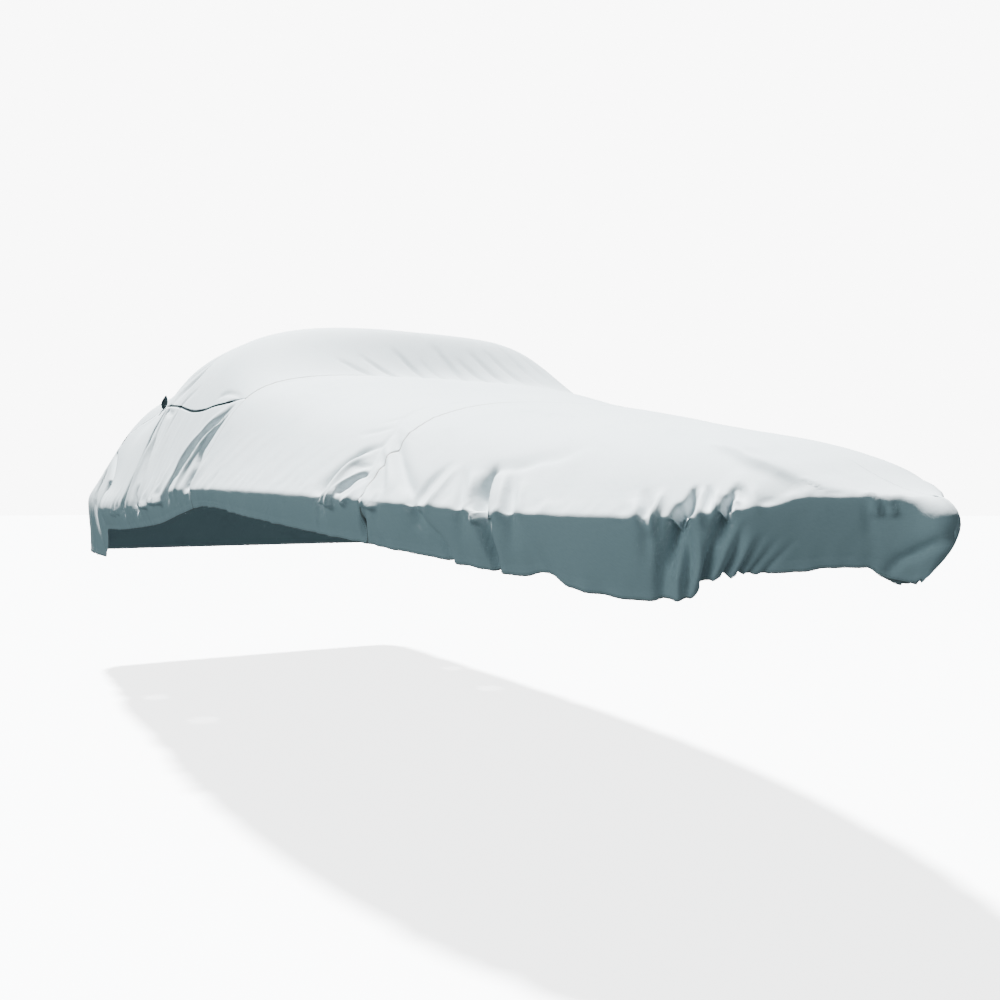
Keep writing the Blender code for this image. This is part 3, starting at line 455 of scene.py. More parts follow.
SKIRT_CREASES = (
    # folds down the skirt, where the drawn hem gathers it
    (((5.69, -1.04), (5.71, -1.35), (5.73, -1.65), (5.74, -1.95)), (.018, .012), (-.008, -.024, -.018), .4),
    (((5.73, -1.04), (5.76, -1.40), (5.78, -1.90)), (.024, .018), (.003, .006, .003), 0.),
    (((5.50, -1.40), (5.55, -1.65), (5.58, -1.98)), (.014, .010), (-.003, -.013, -.017), .3),
    (((5.44, -1.10), (5.50, -1.40), (5.56, -1.80)), (.022, .018), (-.005, -.011, -.007), 0.),
    (((5.24, -1.25), (5.22, -1.50), (5.21, -1.85)), (.012, .012), (-.005, -.016, -.010), .3),
    (((5.27, -1.35), (5.29, -1.60), (5.32, -1.95)), (.010, .010), (.001, .005, .003), 0.),
    (((5.86, -1.30), (5.88, -1.60), (5.90, -1.98)), (.024, .018), (.002, .006, .006), 0.),
    (((6.20, -1.06), (6.20, -1.50), (6.19, -2.00)), (.022, .020), (-.011, -.025, -.018), .3),
    (((6.235, -1.06), (6.24, -1.50), (6.23, -2.00)), (.016, .014), (.005, .020, .014), 0.),
    (((6.26, -1.10), (6.265, -1.50), (6.25, -1.95)), (.014, .012), (-.007, -.020, -.014), 0.),
    (((6.29, -1.30), (6.285, -1.65), (6.26, -2.00)), (.012, .010), (.005, .018, .014), 0.),
    (((6.327, -1.10), (6.31, -1.55), (6.285, -2.00)), (.012, .008), (-.005, -.023, -.025), .3),
    (((6.352, -1.30), (6.335, -1.65), (6.31, -2.00)), (.010, .008), (.004, .016, .014), 0.),
    (((6.371, -1.25), (6.356, -1.65), (6.331, -2.00)), (.010, .006), (-.004, -.016, -.023), .3),
    (((6.386, -1.38), (6.371, -1.70), (6.348, -2.00)), (.008, .006), (.002, .011, .011), 0.),
    (((6.401, -1.40), (6.383, -1.72), (6.364, -2.00)), (.008, .005), (-.002, -.011, -.018), .3),
    (((6.42, -1.48), (6.401, -1.76), (6.383, -2.00)), (.008, .005), (-.002, -.009, -.014), .3),
    (((6.445, -1.55), (6.42, -1.80), (6.405, -2.00)), (.007, .005), (-.002, -.007, -.011), .3),
    (((6.586, -1.92), (6.597, -1.75), (6.616, -1.62), (6.639, -1.44), (6.639, -1.25)),
     (.012, .012), (-.010, -.018, -.004), .3),
    (((6.543, -1.10), (6.549, -1.30), (6.555, -1.55)), (.010, .012), (-.002, -.006, -.002), 0.),
    (((4.62, -1.05), (4.64, -1.40), (4.65, -1.90)), (.016, .014), (.001, .003, .002), 0.),
    (((4.28, -1.05), (4.28, -1.40), (4.28, -1.90)), (.016, .014), (-.001, -.003, -.002), 0.),
    (((3.90, -1.10), (3.92, -1.90)), (.020, .016), (-.003, -.003, -.002), 0.),
    (((2.86, -1.15), (2.90, -1.80)), (.030, .026), (-.006, -.006, -.003), 0.),
    (((2.30, -1.20), (2.28, -1.90)), (.040, .030), (.004, .006, .003), 0.),
    (((.45, -1.10), (.52, -1.90)), (.040, .034), (-.004, -.008, -.005), 0.),
)
# The port side has the same pulls, a little differently placed.
PORT_CREASES = (
    (((3.77, .715), (3.70, .80), (3.58, .88), (3.50, .95), (3.46, 1.12), (3.46, 1.60)),
     (.012, .040), (-.006, -.028, -.002), 0.),
    (((3.78, .73), (3.76, .84), (3.78, .94), (3.80, 1.10), (3.80, 1.60)),
     (.010, .028), (-.004, -.020, -.002), 0.),
    (((2.48, .73), (2.50, .84), (2.58, .95), (2.66, 1.12), (2.66, 1.60)),
     (.016, .046), (-.010, -.030, -.002), 0.),
    (((2.38, .75), (2.28, .86), (2.20, .96), (2.14, 1.10), (2.14, 1.60)),
     (.016, .046), (-.008, -.022, -.002), 0.),
    (((2.43, .78), (2.42, .90), (2.42, 1.00), (2.44, 1.20)), (.016, .034), (.003, .016, .004), 0.),
    (((3.02, .93), (3.04, 1.00), (3.05, 1.30)), (.016, .014), (.004, .013, .002), 0.),
    (((1.10, .80), (1.28, .88), (1.30, .98), (1.30, 1.60)), (.024, .060), (-.010, -.028, -.002), 0.),
    (((.80, .85), (.72, 1.00), (.90, 1.50)), (.050, .070), (-.006, -.020, -.006), 0.),
    (((1.02, 1.10), (1.06, 1.60), (1.10, 1.95)), (.040, .030), (.004, .010, .004), 0.),
    (((1.25, .66), (1.70, .63), (2.20, .62)), (.130, .130), (-.010, -.026, -.010), 0.),
    (((5.05, .56), (5.12, .72), (5.16, .86), (5.21, .99), (5.21, 1.60)),
     (.012, .018), (-.003, -.008, -.002), 0.),
    (((5.13, .80), (5.05, .87), (5.02, .94), (5.02, 1.04), (5.02, 1.60)),
     (.014, .026), (-.005, -.016, -.002), 0.),
    (((5.16, .90), (5.12, .95), (5.11, 1.02), (5.11, 1.60)), (.012, .022), (-.008, -.022, -.002), 0.),
    (((5.17, .76), (5.28, .86), (5.38, .95), (5.43, 1.06), (5.43, 1.60)),
     (.016, .028), (-.003, -.014, -.002), 0.),
    (((5.64, .84), (5.65, .93), (5.68, 1.08), (5.68, 1.60)), (.016, .030), (-.006, -.022, -.002), 0.),
    (((5.76, .86), (5.80, .94), (5.83, 1.08), (5.83, 1.60)), (.016, .026), (-.004, -.013, -.002), 0.),
    (((6.08, .86), (6.11, .98), (6.12, 1.24)), (.022, .018), (.003, .020, .004), 0.),
    (((6.16, .86), (6.18, .95), (6.18, 1.04), (6.18, 1.60)), (.020, .024), (-.004, -.020, -.002), 0.),
    (((6.24, .82), (6.26, .96), (6.27, 1.20)), (.016, .014), (.003, .017, .004), 0.),
    (((6.22, 1.06), (6.23, 1.50), (6.22, 2.00)), (.026, .022), (-.006, -.014, -.010), 0.),
    (((6.31, 1.20), (6.30, 1.60), (6.28, 2.00)), (.016, .010), (-.003, -.011, -.011), 0.),
    (((6.38, 1.30), (6.36, 1.65), (6.34, 2.00)), (.012, .008), (-.002, -.009, -.011), 0.),
    (((6.44, 1.40), (6.42, 1.72), (6.40, 2.00)), (.010, .006), (-.001, -.006, -.008), 0.),
    (((5.70, 1.05), (5.72, 1.45), (5.74, 1.95)), (.022, .016), (-.004, -.012, -.008), 0.),
    (((5.20, 1.20), (5.22, 1.55), (5.21, 1.90)), (.016, .014), (-.003, -.009, -.006), 0.),
    (((4.40, 1.05), (4.42, 1.90)), (.020, .018), (-.002, -.005, -.003), 0.),
    (((3.95, 1.08), (3.96, 1.90)), (.022, .018), (-.003, -.004, -.002), 0.),
)
CREASES = SLIT_CREASES + HOOD_CREASES + SEAM_CREASES + BOW_CREASES + SKIRT_CREASES + PORT_CREASES

# Short runs from one place of a crease to the next, how many half widths off it is no longer felt, and
# the power by which its flanks fall away.
CREASE_RUNS = 6
CREASE_REACH = 3.0
CREASE_FALL = 1.8

# Fields of fine drag lines: where they lie, the room between two of them, how they slant (metres
# towards the bow end for each metre away from the centre line) and how tall they are.
STREAK_COLUMNS = ("from_x", "to_x", "from_girth", "to_girth", "spacing", "slant", "height")
STREAKS = (
    (3.80, 5.02, -1.02, -0.78, 0.050, -0.55, 0.0016),
    (2.20, 3.60, -1.02, -0.72, 0.070, -0.20, 0.0030),
    (3.45, 3.94, -0.45, 0.62, 0.060, 0.0, 0.0010),
    (5.22, 6.30, -1.02, -0.74, 0.070, 0.10, 0.0022),
    (4.20, 6.05, -2.02, -1.02, 0.080, 0.15, 0.0020),
    (6.05, 6.64, -2.02, -1.05, 0.040, -0.45, 0.0014),
    (2.20, 3.60, 0.72, 1.02, 0.070, 0.10, 0.0030),
    (4.90, 6.30, 0.74, 1.02, 0.070, 0.10, 0.0024),
    (3.80, 6.30, 1.02, 2.02, 0.080, 0.0, 0.0020),
    (0.00, 2.20, -2.02, -0.95, 0.110, 0.0, 0.0030),
    (0.00, 2.20, 0.95, 2.02, 0.110, 0.0, 0.0030),
)

# How long a drag line is, how a field fades at its ends (a length) and at its sides (a share of its
# girth), and the share under which nothing is drawn.
STREAK_LENGTH = 0.45
STREAK_END_FADE = 0.12
STREAK_SIDE_FADE = 0.2
LEAST_SHARE = 0.001

# Swells of slack cloth: how many a metre, where their noise starts, and how tall they are.
SLACK_COLUMNS = ("per_metre", "start", "height")
SLACK = (
    (1.7, 0.0, 0.0045),
    (5.0, 11.0, 0.0016),
)

# Small puckers that run into a seam or the hem: how tall they are, the room between two of them, the
# length over which they die away, and where their noise starts.
CROSS_SEAM_PUCKERS = (0.0050, 0.030, 0.045, 5.0)
HOOD_FRONT_PUCKERS = (0.0016, 0.030, 0.030, 9.0)
HEM_PUCKERS = (0.0110, 0.055, 0.045, 2.0)

# How many of those lengths off a pucker is no longer felt, how long one is, and the girths between which
# the two seams are puckered.
PUCKER_REACH = 4.0
PUCKER_LENGTH = 0.15
CROSS_SEAM_FROM = 0.40
CROSS_SEAM_TO = 1.02
CROSS_SEAM_FADE = 0.15
HOOD_FRONT_TO = 0.68

# Small waves in the edge: the length of one, where their noise starts, and how tall they are. They lie
# about one girth, just above the edge, and fade away from it.
EDGE_WAVE_COLUMNS = ("length", "start", "height")
EDGE_WAVES = (
    (0.060, 4.0, 0.0070),
    (0.024, 8.0, 0.0030),
)
EDGE_WAVE_GIRTH = 0.965
EDGE_WAVE_SPREAD = 0.028
EDGE_WAVE_REACH = 0.10


# ---- camera ---------------------------------------------------------------------------------------
# Its turn from looking along +Y and its tilt from looking straight down are in degrees.
CAMERA_PLACE = (5.43, -2.07, -0.8935)
CAMERA_TURN = 60.9
CAMERA_TILT = 89.59
LENS_MM = 35.14
SENSOR_MM = 36.0


def add_camera():
    data = bpy.data.cameras.new("camera")
    data.sensor_width = SENSOR_MM
    data.lens = LENS_MM
    camera = bpy.data.objects.new("camera", data)
    camera.location = CAMERA_PLACE
    camera.rotation_euler = (math.radians(CAMERA_TILT), 0.0, math.radians(CAMERA_TURN))
    bpy.context.scene.collection.objects.link(camera)
    bpy.context.scene.camera = camera


# ---- reading the tables ---------------------------------------------------------------------------
def rows_of(table, names):
    """A table's rows, with their columns by name."""
    row = collections.namedtuple("row", names)
    return [row(*values) for values in table]


@functools.cache
def column(table, names, name):
    """One named column of a table, as an array."""
    return np.array([row[names.index(name)] for row in table], dtype=float)


def hermite(xs, ys, slopes, x):
    """Cubic through the points (xs, ys) with the given slopes, read at x."""
    x = np.clip(x, xs[0], xs[-1])
    i = np.clip(np.searchsorted(xs, x, side="right") - 1, 0, len(xs) - 2)
    step = xs[i + 1] - xs[i]
    t = (x - xs[i]) / step
    start = (2 * t**3 - 3 * t**2 + 1) * ys[i] + (t**3 - 2 * t**2 + t) * step * slopes[i]
    end = (3 * t**2 - 2 * t**3) * ys[i + 1] + (t**3 - t**2) * step * slopes[i + 1]
    return start + end


def smooth(xs, ys, x):
    """Smooth curve through the points that never overshoots them."""
    rise = np.diff(ys) / np.diff(xs)
    slopes = np.zeros_like(ys)
    both = rise[:-1] * rise[1:] > 0
    total = np.where(both, rise[:-1] + rise[1:], 1.0)
    slopes[1:-1] = np.where(both, 2 * rise[:-1] * rise[1:] / total, 0.0)
    slopes[0] = rise[0]
    slopes[-1] = rise[-1]
    return hermite(xs, ys, slopes, x)


def read(table, names, name, x):
    """A named column of a table as a smooth function of its first column."""
    return smooth(column(table, names, names[0]), column(table, names, name), x)


def smoothstep(t):
    """Soft rise from 0 to 1 as t goes from 0 to 1."""
    t = np.clip(t, 0.0, 1.0)
    return t * t * (3.0 - 2.0 * t)


def between(value, low, high, fade):
    """1 inside a range and 0 outside it, with soft ends inside the range."""
    return smoothstep((value - low) / fade) * smoothstep((high - value) / fade)


def unit(vectors):
    return vectors / np.maximum(np.linalg.norm(vectors, axis=-1, keepdims=True), LEAST_LENGTH)


def row_at(stations, x):
    """Number of the row that lies nearest a station."""
    return int(np.argmin(np.abs(stations - x)))


# ---- form of the cloth ----------------------------------------------------------------------------
class Outline:
    """The cover's edge in plan, from the stern corner round to the nose."""

    SAMPLES = 1600

    def __init__(self):
        x = column(STATIONS, STATION_COLUMNS, "x")
        y = column(STATIONS, STATION_COLUMNS, "half_width")
        x_all = np.concatenate([x, x[-2:-4:-1]])
        y_all = np.concatenate([y, -y[-2:-4:-1]])
        run = np.concatenate([[0.0], np.cumsum(np.hypot(np.diff(x_all), np.diff(y_all)))])
        self.run = np.linspace(0.0, run[len(x) - 1], self.SAMPLES)
        self.x = hermite(run, x_all, np.gradient(x_all, run), self.run)
        self.y = hermite(run, y_all, np.gradient(y_all, run), self.run)
        self.x[-1] = x[-1]
        self.y[-1] = 0.0
        turn_x = np.gradient(self.x)
        turn_y = np.gradient(self.y)
        size = np.hypot(turn_x, turn_y)
        self.in_x = turn_y / size
        self.in_y = -turn_x / size
        self.in_x[-1] = -1.0
        self.in_y[-1] = 0.0

    def half_width(self, x):
        return np.interp(x, self.x, self.y)

    def inward(self, x):
        """Direction square to the edge, towards the inside."""
        return np.interp(x, self.x, self.in_x), np.interp(x, self.x, self.in_y)


OUTLINE = Outline()
NOSE_X = STATIONS[-1][0]


def rounded_section(height, fullness, share):
    """Height over the edge of a rounded section, at a share of the half width."""
    return height * (1.0 - share**fullness) ** (1.0 / fullness)


def form_height(x, y):
    """Height of the unfolded cloth over the level line, at a place in plan."""
    half_width = np.maximum(OUTLINE.half_width(x), LEAST_HEIGHT)
    share = np.clip(np.abs(y) / half_width, 0.0, 1.0)
    edge = read(STATIONS, STATION_COLUMNS, "edge_z", x)
    low_crown = read(LOW_FORM, LOW_COLUMNS, "crown_z", x) - edge
    low = rounded_section(low_crown, read(LOW_FORM, LOW_COLUMNS, "fullness", x), share)
    hood_crown = read(HOOD_FORM, LOW_COLUMNS, "crown_z", x) - edge
    hood = rounded_section(hood_crown, read(HOOD_FORM, LOW_COLUMNS, "fullness", x), share)
    foot = HOOD_FRONT_CENTRE + (SLOPE_FOOT_SIDE - HOOD_FRONT_CENTRE) * share**2
    slope = SLOPE_CENTRE + (SLOPE_SIDE - SLOPE_CENTRE) * share**2
    risen = smoothstep((foot - x) / slope)
    rounded = np.maximum(low + (np.maximum(hood, low) - low) * risen, LEAST_HEIGHT)
    steepness = read(WALLS, STEEPNESS_COLUMNS, "steepness", x)
    straight = np.maximum(steepness * (half_width - np.abs(y)), LEAST_HEIGHT)
    return edge + rounded * (1.0 + (rounded / straight) ** WALL_BLEND) ** (-1.0 / WALL_BLEND)


class Section:
    """The line of the cloth from the centre line over the edge to the hem, on the port side."""

    TOP_SAMPLES = 320
    SKIRT_SAMPLES = 60
    TUCK_CURVE = 1.3
    BELLY_CURVE = 0.75
    ROUNDING_OFFSETS = (-1.0, -0.6, -0.2, 0.2, 0.6, 1.0)
    ROUNDING_SHARES = (1.0, 2.0, 3.0, 3.0, 2.0, 1.0)
    ROUNDING_REACH = 3.0

    def __init__(self, x_edge):
        self.x_edge = x_edge
        self.half_width = float(OUTLINE.half_width(x_edge))
        self.edge_z = self.station_value("edge_z")
        self.points = np.concatenate([self.top_line(), self.skirt_line()])
        self.measure()
        self.round_edge(float(read(ROUNDING, ROUNDING_COLUMNS, "radius", x_edge)))
        self.measure()

    def station_value(self, name):
        return read(STATIONS, STATION_COLUMNS, name, self.x_edge)

    def top_line(self):
        """From the centre line to the edge."""
        x_centre = read(FAN, FAN_COLUMNS, "centre_x", self.x_edge)
        out = np.sin(np.linspace(0.0, np.pi / 2, self.TOP_SAMPLES))
        x = x_centre + (self.x_edge - x_centre) * out**2
        y = self.half_width * out
        z = form_height(x, y)
        z[-1] = self.edge_z
        return np.stack([x, y, z], axis=1)

    def skirt_line(self):
        """From the edge to the hem: it bulges out under the edge and is drawn in at the hem."""
        down = np.linspace(0.0, 1.0, self.SKIRT_SAMPLES)[1:]
        bulge = self.station_value("belly") * np.sin(np.pi * down**self.BELLY_CURVE)
        draw = self.station_value("tuck") * down**self.TUCK_CURVE - bulge
        in_x, in_y = OUTLINE.inward(self.x_edge)
        x = self.x_edge + in_x * draw
        y = np.maximum(self.half_width + in_y * draw, 0.0)
        z = self.edge_z + (self.station_value("hem_z") - self.edge_z) * down
        return np.stack([x, y, z], axis=1)

    def measure(self):
        steps = np.linalg.norm(np.diff(self.points, axis=0), axis=1)
        self.run = np.concatenate([[0.0], np.cumsum(steps)])
        self.edge_run = self.run[self.TOP_SAMPLES - 1]

    def round_edge(self, radius):
        """Rounds the corner at the edge by averaging the line over a radius to both sides."""
        reach = np.minimum(radius, self.run[-1] - self.run)
        total = np.zeros_like(self.points)
        for share, offset in zip(self.ROUNDING_SHARES, self.ROUNDING_OFFSETS):
            total += share * self.at_run(self.run + offset * reach)
        near = np.abs(self.run - self.edge_run) < self.ROUNDING_REACH * radius
        self.points[near] = total[near] / sum(self.ROUNDING_SHARES)

    def at_run(self, run):
        """Points at lengths along the line."""
        return np.stack([np.interp(run, self.run, self.points[:, k]) for k in range(3)], axis=-1)

    def run_of(self, girth):
        """Length along the cloth at a girth: 0 the centre line, 1 the edge, 2 the hem."""
        girth = np.abs(girth)
        skirt = self.run[-1] - self.edge_run
        return np.minimum(girth, 1.0) * self.edge_run + np.maximum(girth - 1.0, 0.0) * skirt

    def place(self, girth, slide=0.0):
        """Points at signed girths, moved a little along the cloth away from the centre line."""
        girth = np.asarray(girth, dtype=float)
        found = self.at_run(self.run_of(girth) + slide)
        found[..., 1] = np.where(girth < 0.0, -found[..., 1], found[..., 1])
        return found


def to_frame(points):
    """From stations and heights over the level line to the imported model's frame."""
    support_z = float(form_height(np.array(SUPPORT_X), np.array(0.0))) - CLOTH - SUPPORT_CLEAR
    return points - np.array([SUPPORT_X, 0.0, support_z])


# ---- folds ----------------------------------------------------------------------------------------
@functools.cache
def crease_line(path):
    """A crease's line on the unfolded cloth, as short runs."""
    places = np.array(path)
    ends = np.linspace(0.0, len(places) - 1.0, (len(places) - 1) * CREASE_RUNS + 1)
    steps = np.arange(len(places), dtype=float)
    slopes = np.gradient(places, axis=0)
    x = hermite(steps, places[:, 0], slopes[:, 0], ends)
    girth = hermite(steps, places[:, 1], slopes[:, 1], ends)
    return np.array([Section(min(a, NOSE_X)).place(b) for a, b in zip(x, girth)])


def nearest_on_line(points, normals, line):
    """Distance of each point to a line, the share of the line's length there, and its side."""
    lengths = np.linalg.norm(np.diff(line, axis=0), axis=1)
    starts = np.concatenate([[0.0], np.cumsum(lengths)])
    best = np.full(len(points), np.inf)
    along = np.zeros(len(points))
    side = np.zeros(len(points))
    for k in range(len(line) - 1):
        run = line[k + 1] - line[k]
        t = np.clip(((points - line[k]) @ run) / max(run @ run, LEAST_LENGTH), 0.0, 1.0)
        away = points - (line[k] + t[:, None] * run)
        gap = np.linalg.norm(away, axis=1)
        nearer = gap < best
        best = np.where(nearer, gap, best)
        along = np.where(nearer, (starts[k] + t * lengths[k]) / starts[-1], along)
        across = np.einsum("ij,ij->i", np.cross(run, away), normals)
        side = np.where(nearer, np.sign(across), side)
    return best, along, side


def crease_heights(points, normals):
    """How far the creases lift or sink the cloth at each point."""
    total = np.zeros(len(points))
    for crease in rows_of(CREASES, CREASE_COLUMNS):
        line = crease_line(crease.path)
        reach = CREASE_REACH * max(crease.width)
        near = np.all((points > line.min(axis=0) - reach) & (points < line.max(axis=0) + reach), axis=1)
        if not near.any():
            continue
        gap, along, side = nearest_on_line(points[near], normals[near], line)
        start_width, end_width = crease.width
        wide = (start_width + (end_width - start_width) * along) * (1.0 + crease.lean * side)
        start, middle, end = crease.height
        tall = (start * (1 - along) * (1 - 2 * along) + middle * 4 * along * (1 - along)
                + end * along * (2 * along - 1))
        total[near] += tall * np.exp(-((gap / wide) ** CREASE_FALL))
    return total


def streak_heights(stations, girths, along_runs, across_runs):
    """Fine drag lines, from smooth noise stretched along them."""
    total = np.zeros(len(stations))
    for field in rows_of(STREAKS, STREAK_COLUMNS):
        side_fade = STREAK_SIDE_FADE * (field.to_girth - field.from_girth)
        inside = (between(stations, field.from_x, field.to_x, STREAK_END_FADE)
                  * between(girths, field.from_girth, field.to_girth, side_fade))
        for k in np.nonzero(inside > LEAST_SHARE)[0]:
            across = (along_runs[k] - field.slant * abs(across_runs[k])) / field.spacing
            place = Vector((across, across_runs[k] / STREAK_LENGTH, field.from_x))
            total[k] += field.height * inside[k] * noise.noise(place)
    return total


def slack_heights(points):
    """Broad, soft unevenness of slack cloth."""
    total = np.zeros(len(points))
    for swell in rows_of(SLACK, SLACK_COLUMNS):
        for k, point in enumerate(points):
            total[k] += swell.height * noise.noise(Vector(point * swell.per_metre + swell.start))
    return total


def pucker_heights(distance, runs, puckers):
    """Small puckers that run into a seam and die away from it."""
    height, spacing, decay, start = puckers
    total = np.zeros(distance.shape)
    for k in zip(*np.nonzero(distance < PUCKER_REACH * decay)):
        fade = math.exp(-distance[k] / decay)
        place = Vector((runs[k] / spacing, distance[k] / PUCKER_LENGTH, start))
        total[k] = height * fade * noise.noise(place)
    return total


def edge_heights(girths, along_runs):
    """Small waves in the edge, where the cloth turns down to the skirt."""
    total = np.zeros(girths.shape)
    waves = rows_of(EDGE_WAVES, EDGE_WAVE_COLUMNS)
    off_edge = np.abs(np.abs(girths) - EDGE_WAVE_GIRTH)
    for k in zip(*np.nonzero(off_edge < EDGE_WAVE_REACH)):
        fade = math.exp(-((off_edge[k] / EDGE_WAVE_SPREAD) ** 2))
        for wave in waves:
            place = Vector((along_runs[k] / wave.length, girths[k], wave.start))
            total[k] += fade * wave.height * noise.noise(place)
    return total


# ---- nets of points -------------------------------------------------------------------------------
def stations_of(spans):
    """Edge stations of a sheet's rows."""
    found = [spans[0][0]]
    for span in rows_of(spans, SPAN_COLUMNS):
        steps = max(1, round((span.to_x - span.from_x) / span.step))
        found.extend(np.linspace(span.from_x, span.to_x, steps + 1)[1:])
    return np.array(found)


def seam_share(x):
    return float(read(SIDE_SEAM, SIDE_SEAM_COLUMNS, "share", x))


def slit_gap(x):
    """Room between the two lips of the side seam: a hairline, and more along the slit."""
    inside = smoothstep((x - FRONT_LEG_X) / SLIT_END) * (x < SLIT[-1][0])
    return SIDE_SEAM_GAP + (float(read(SLIT, SLIT_COLUMNS, "gap", x)) - SIDE_SEAM_GAP) * inside


def girth_length(x):
    """Length of cloth from the centre line to the edge."""
    return Section(x).edge_run


class Net:
    """Places of a sheet's nodes: one row a station, one column a girth."""

    STEP = 0.003

    def __init__(self, stations, girths_of):
        self.sections = [Section(x) for x in stations]
        self.girths = np.array([girths_of(x) for x in stations])
        self.stations = np.repeat(stations[:, None], self.girths.shape[1], axis=1)
        rows = list(zip(self.sections, self.girths))
        self.flat = np.array([section.place(girths) for section, girths in rows])
        self.across_runs = np.array([section.run_of(girths) * np.sign(girths) for section, girths in rows])
        self.along_runs = np.interp(self.stations, OUTLINE.x, OUTLINE.run)
        hem_runs = np.array([section.run[-1] for section in self.sections])[:, None]
        self.hem_distance = hem_runs - np.abs(self.across_runs)
        self.normals = self.find_normals()
        self.points = to_frame(self.flat + self.normals * self.fold_heights()[..., None])

    def find_normals(self):
        """Directions square to the unfolded cloth, from places a step off on all four sides."""
        fore = []
        across = []
        for section, girths in zip(self.sections, self.girths):
            ahead = Section(min(section.x_edge + self.STEP, NOSE_X))
            behind = Section(max(section.x_edge - self.STEP, 0.0))
            to_port = np.where(girths < 0.0, -self.STEP, self.STEP)
            fore.append(ahead.place(girths) - behind.place(girths))
            across.append(section.place(girths, to_port) - section.place(girths, -to_port))
        normals = np.cross(np.array(fore), np.array(across))
        normals[np.abs(self.flat[..., 1]) < NO_ROOM, 1] = 0.0
        normals[np.linalg.norm(normals, axis=-1) < NO_ROOM] = (0.0, 0.0, 1.0)
        return unit(normals)

    def fold_heights(self):
        """How far everything that isn't the plain form lifts the cloth at each node."""
        points = self.flat.reshape(-1, 3)
        lift = crease_heights(points, self.normals.reshape(-1, 3))
        lift += streak_heights(self.stations.ravel(), self.girths.ravel(),
                               self.along_runs.ravel(), self.across_runs.ravel())
        lift += slack_heights(points)
        lift = lift.reshape(self.girths.shape)
        girths = np.abs(self.girths)
        from_cross_seam = np.abs(self.stations - CROSS_SEAM_X)
        lift += (between(girths, CROSS_SEAM_FROM, CROSS_SEAM_TO, CROSS_SEAM_FADE)
                 * pucker_heights(from_cross_seam, self.across_runs, CROSS_SEAM_PUCKERS))
        from_hood_front = np.abs(self.stations - HOOD_FRONT_EDGE)
        lift += (pucker_heights(from_hood_front, self.across_runs, HOOD_FRONT_PUCKERS)
                 * (girths < HOOD_FRONT_TO))
        lift += edge_heights(self.girths, self.along_runs)
        lift += pucker_heights(self.hem_distance, self.along_runs, HEM_PUCKERS)
        return lift


def half_girths(turns, counts):
    """Girths from the centre line outwards, evenly between the turns, with a count for each stretch."""
    stretches = zip(turns, turns[1:], counts)
    return np.concatenate([np.linspace(start, end, count + 1)[1:] for start, end, count in stretches])


def both_sides(turns, counts_of_stretches):
    """Girths across the whole sheet. Each stretch has its counts to starboard and to port."""
    starboard = half_girths(turns, [counts[0] for counts in counts_of_stretches])
    port = half_girths(turns, [counts[1] for counts in counts_of_stretches])
    return np.concatenate([-starboard[::-1], [0.0], port])


def body_girths(x):
    counts = (STRIP_TOP_COLUMNS, BODY_WALL_COLUMNS, BODY_SKIRT_COLUMNS)
    return both_sides((0.0, seam_share(x), 1.0, 2.0), counts)


def bow_girths(x):
    counts = (BOW_TOP_COLUMNS, BOW_WALL_COLUMNS, BOW_SKIRT_COLUMNS)
    return both_sides((0.0, seam_share(x), 1.0, 2.0), counts)


def hood_girths(x):
    return both_sides((0.0, seam_share(x)), (HOOD_TOP_COLUMNS,))


def stern_girths(x):
    return np.linspace(-1.0, 1.0, TRANSOM_COLUMNS)


def round_leg_openings(net):
    """Moves the nodes near each rim on to its circle, and tells which nodes lie inside one."""
    inside = np.zeros(net.stations.shape, dtype=bool)
    radius = LEG_OPENING / 2
    for x in (FRONT_LEG_X, REAR_LEG_X):
        middle = seam_share(x) * girth_length(x)
        for side in (STARBOARD, PORT):
            along = net.stations - x
            across = net.across_runs - side * middle
            distance = np.hypot(along, across)
            inside |= distance < radius - OPENING_CELL
            rim = np.abs(distance - radius) <= OPENING_CELL
            shift = ((radius - distance) / np.maximum(distance, NO_ROOM))[..., None]
            fore = unit(np.gradient(net.points, axis=0))
            beside = unit(np.gradient(net.points, axis=1))
            moved = net.points + (fore * along[..., None] + beside * across[..., None]) * shift
            net.points = np.where(rim[..., None], moved, net.points)
    return inside


def raise_hem(net):
    """The doubled cloth of the hem stands out a little, and its cord rounds its lower edge."""
    band = HEM_BAND_RISE * smoothstep((HEM_BAND - net.hem_distance) / HEM_BAND_END)
    cord = HEM_CORD_RISE * np.exp(-(((net.hem_distance - HEM_CORD_AT) / HEM_CORD_HALF) ** 2))
    net.points = net.points + net.normals * (band + cord)[..., None]


def slid_edge(points, edge, neighbour, distance):
    """The nodes of an edge, moved along the cloth towards their neighbours."""
    return points[edge] + unit(points[neighbour] - points[edge]) * distance


# ---- meshes ---------------------------------------------------------------------------------------
def select_only(made):
    bpy.ops.object.select_all(action="DESELECT")
    made.select_set(True)
    bpy.context.view_layer.objects.active = made


def net_quads(shape, left_out):
    """Cells of a net, without those that are left out."""
    index = np.arange(shape[0] * shape[1]).reshape(shape)
    quads = np.stack([index[:-1, :-1], index[1:, :-1], index[1:, 1:], index[:-1, 1:]], axis=-1)
    if left_out is not None:
        quads = quads[~left_out]
    return quads.reshape(-1, 4)


def cells_at(nodes):
    """Cells of a net that have one of the marked nodes."""
    return nodes[:-1, :-1] | nodes[1:, :-1] | nodes[1:, 1:] | nodes[:-1, 1:]


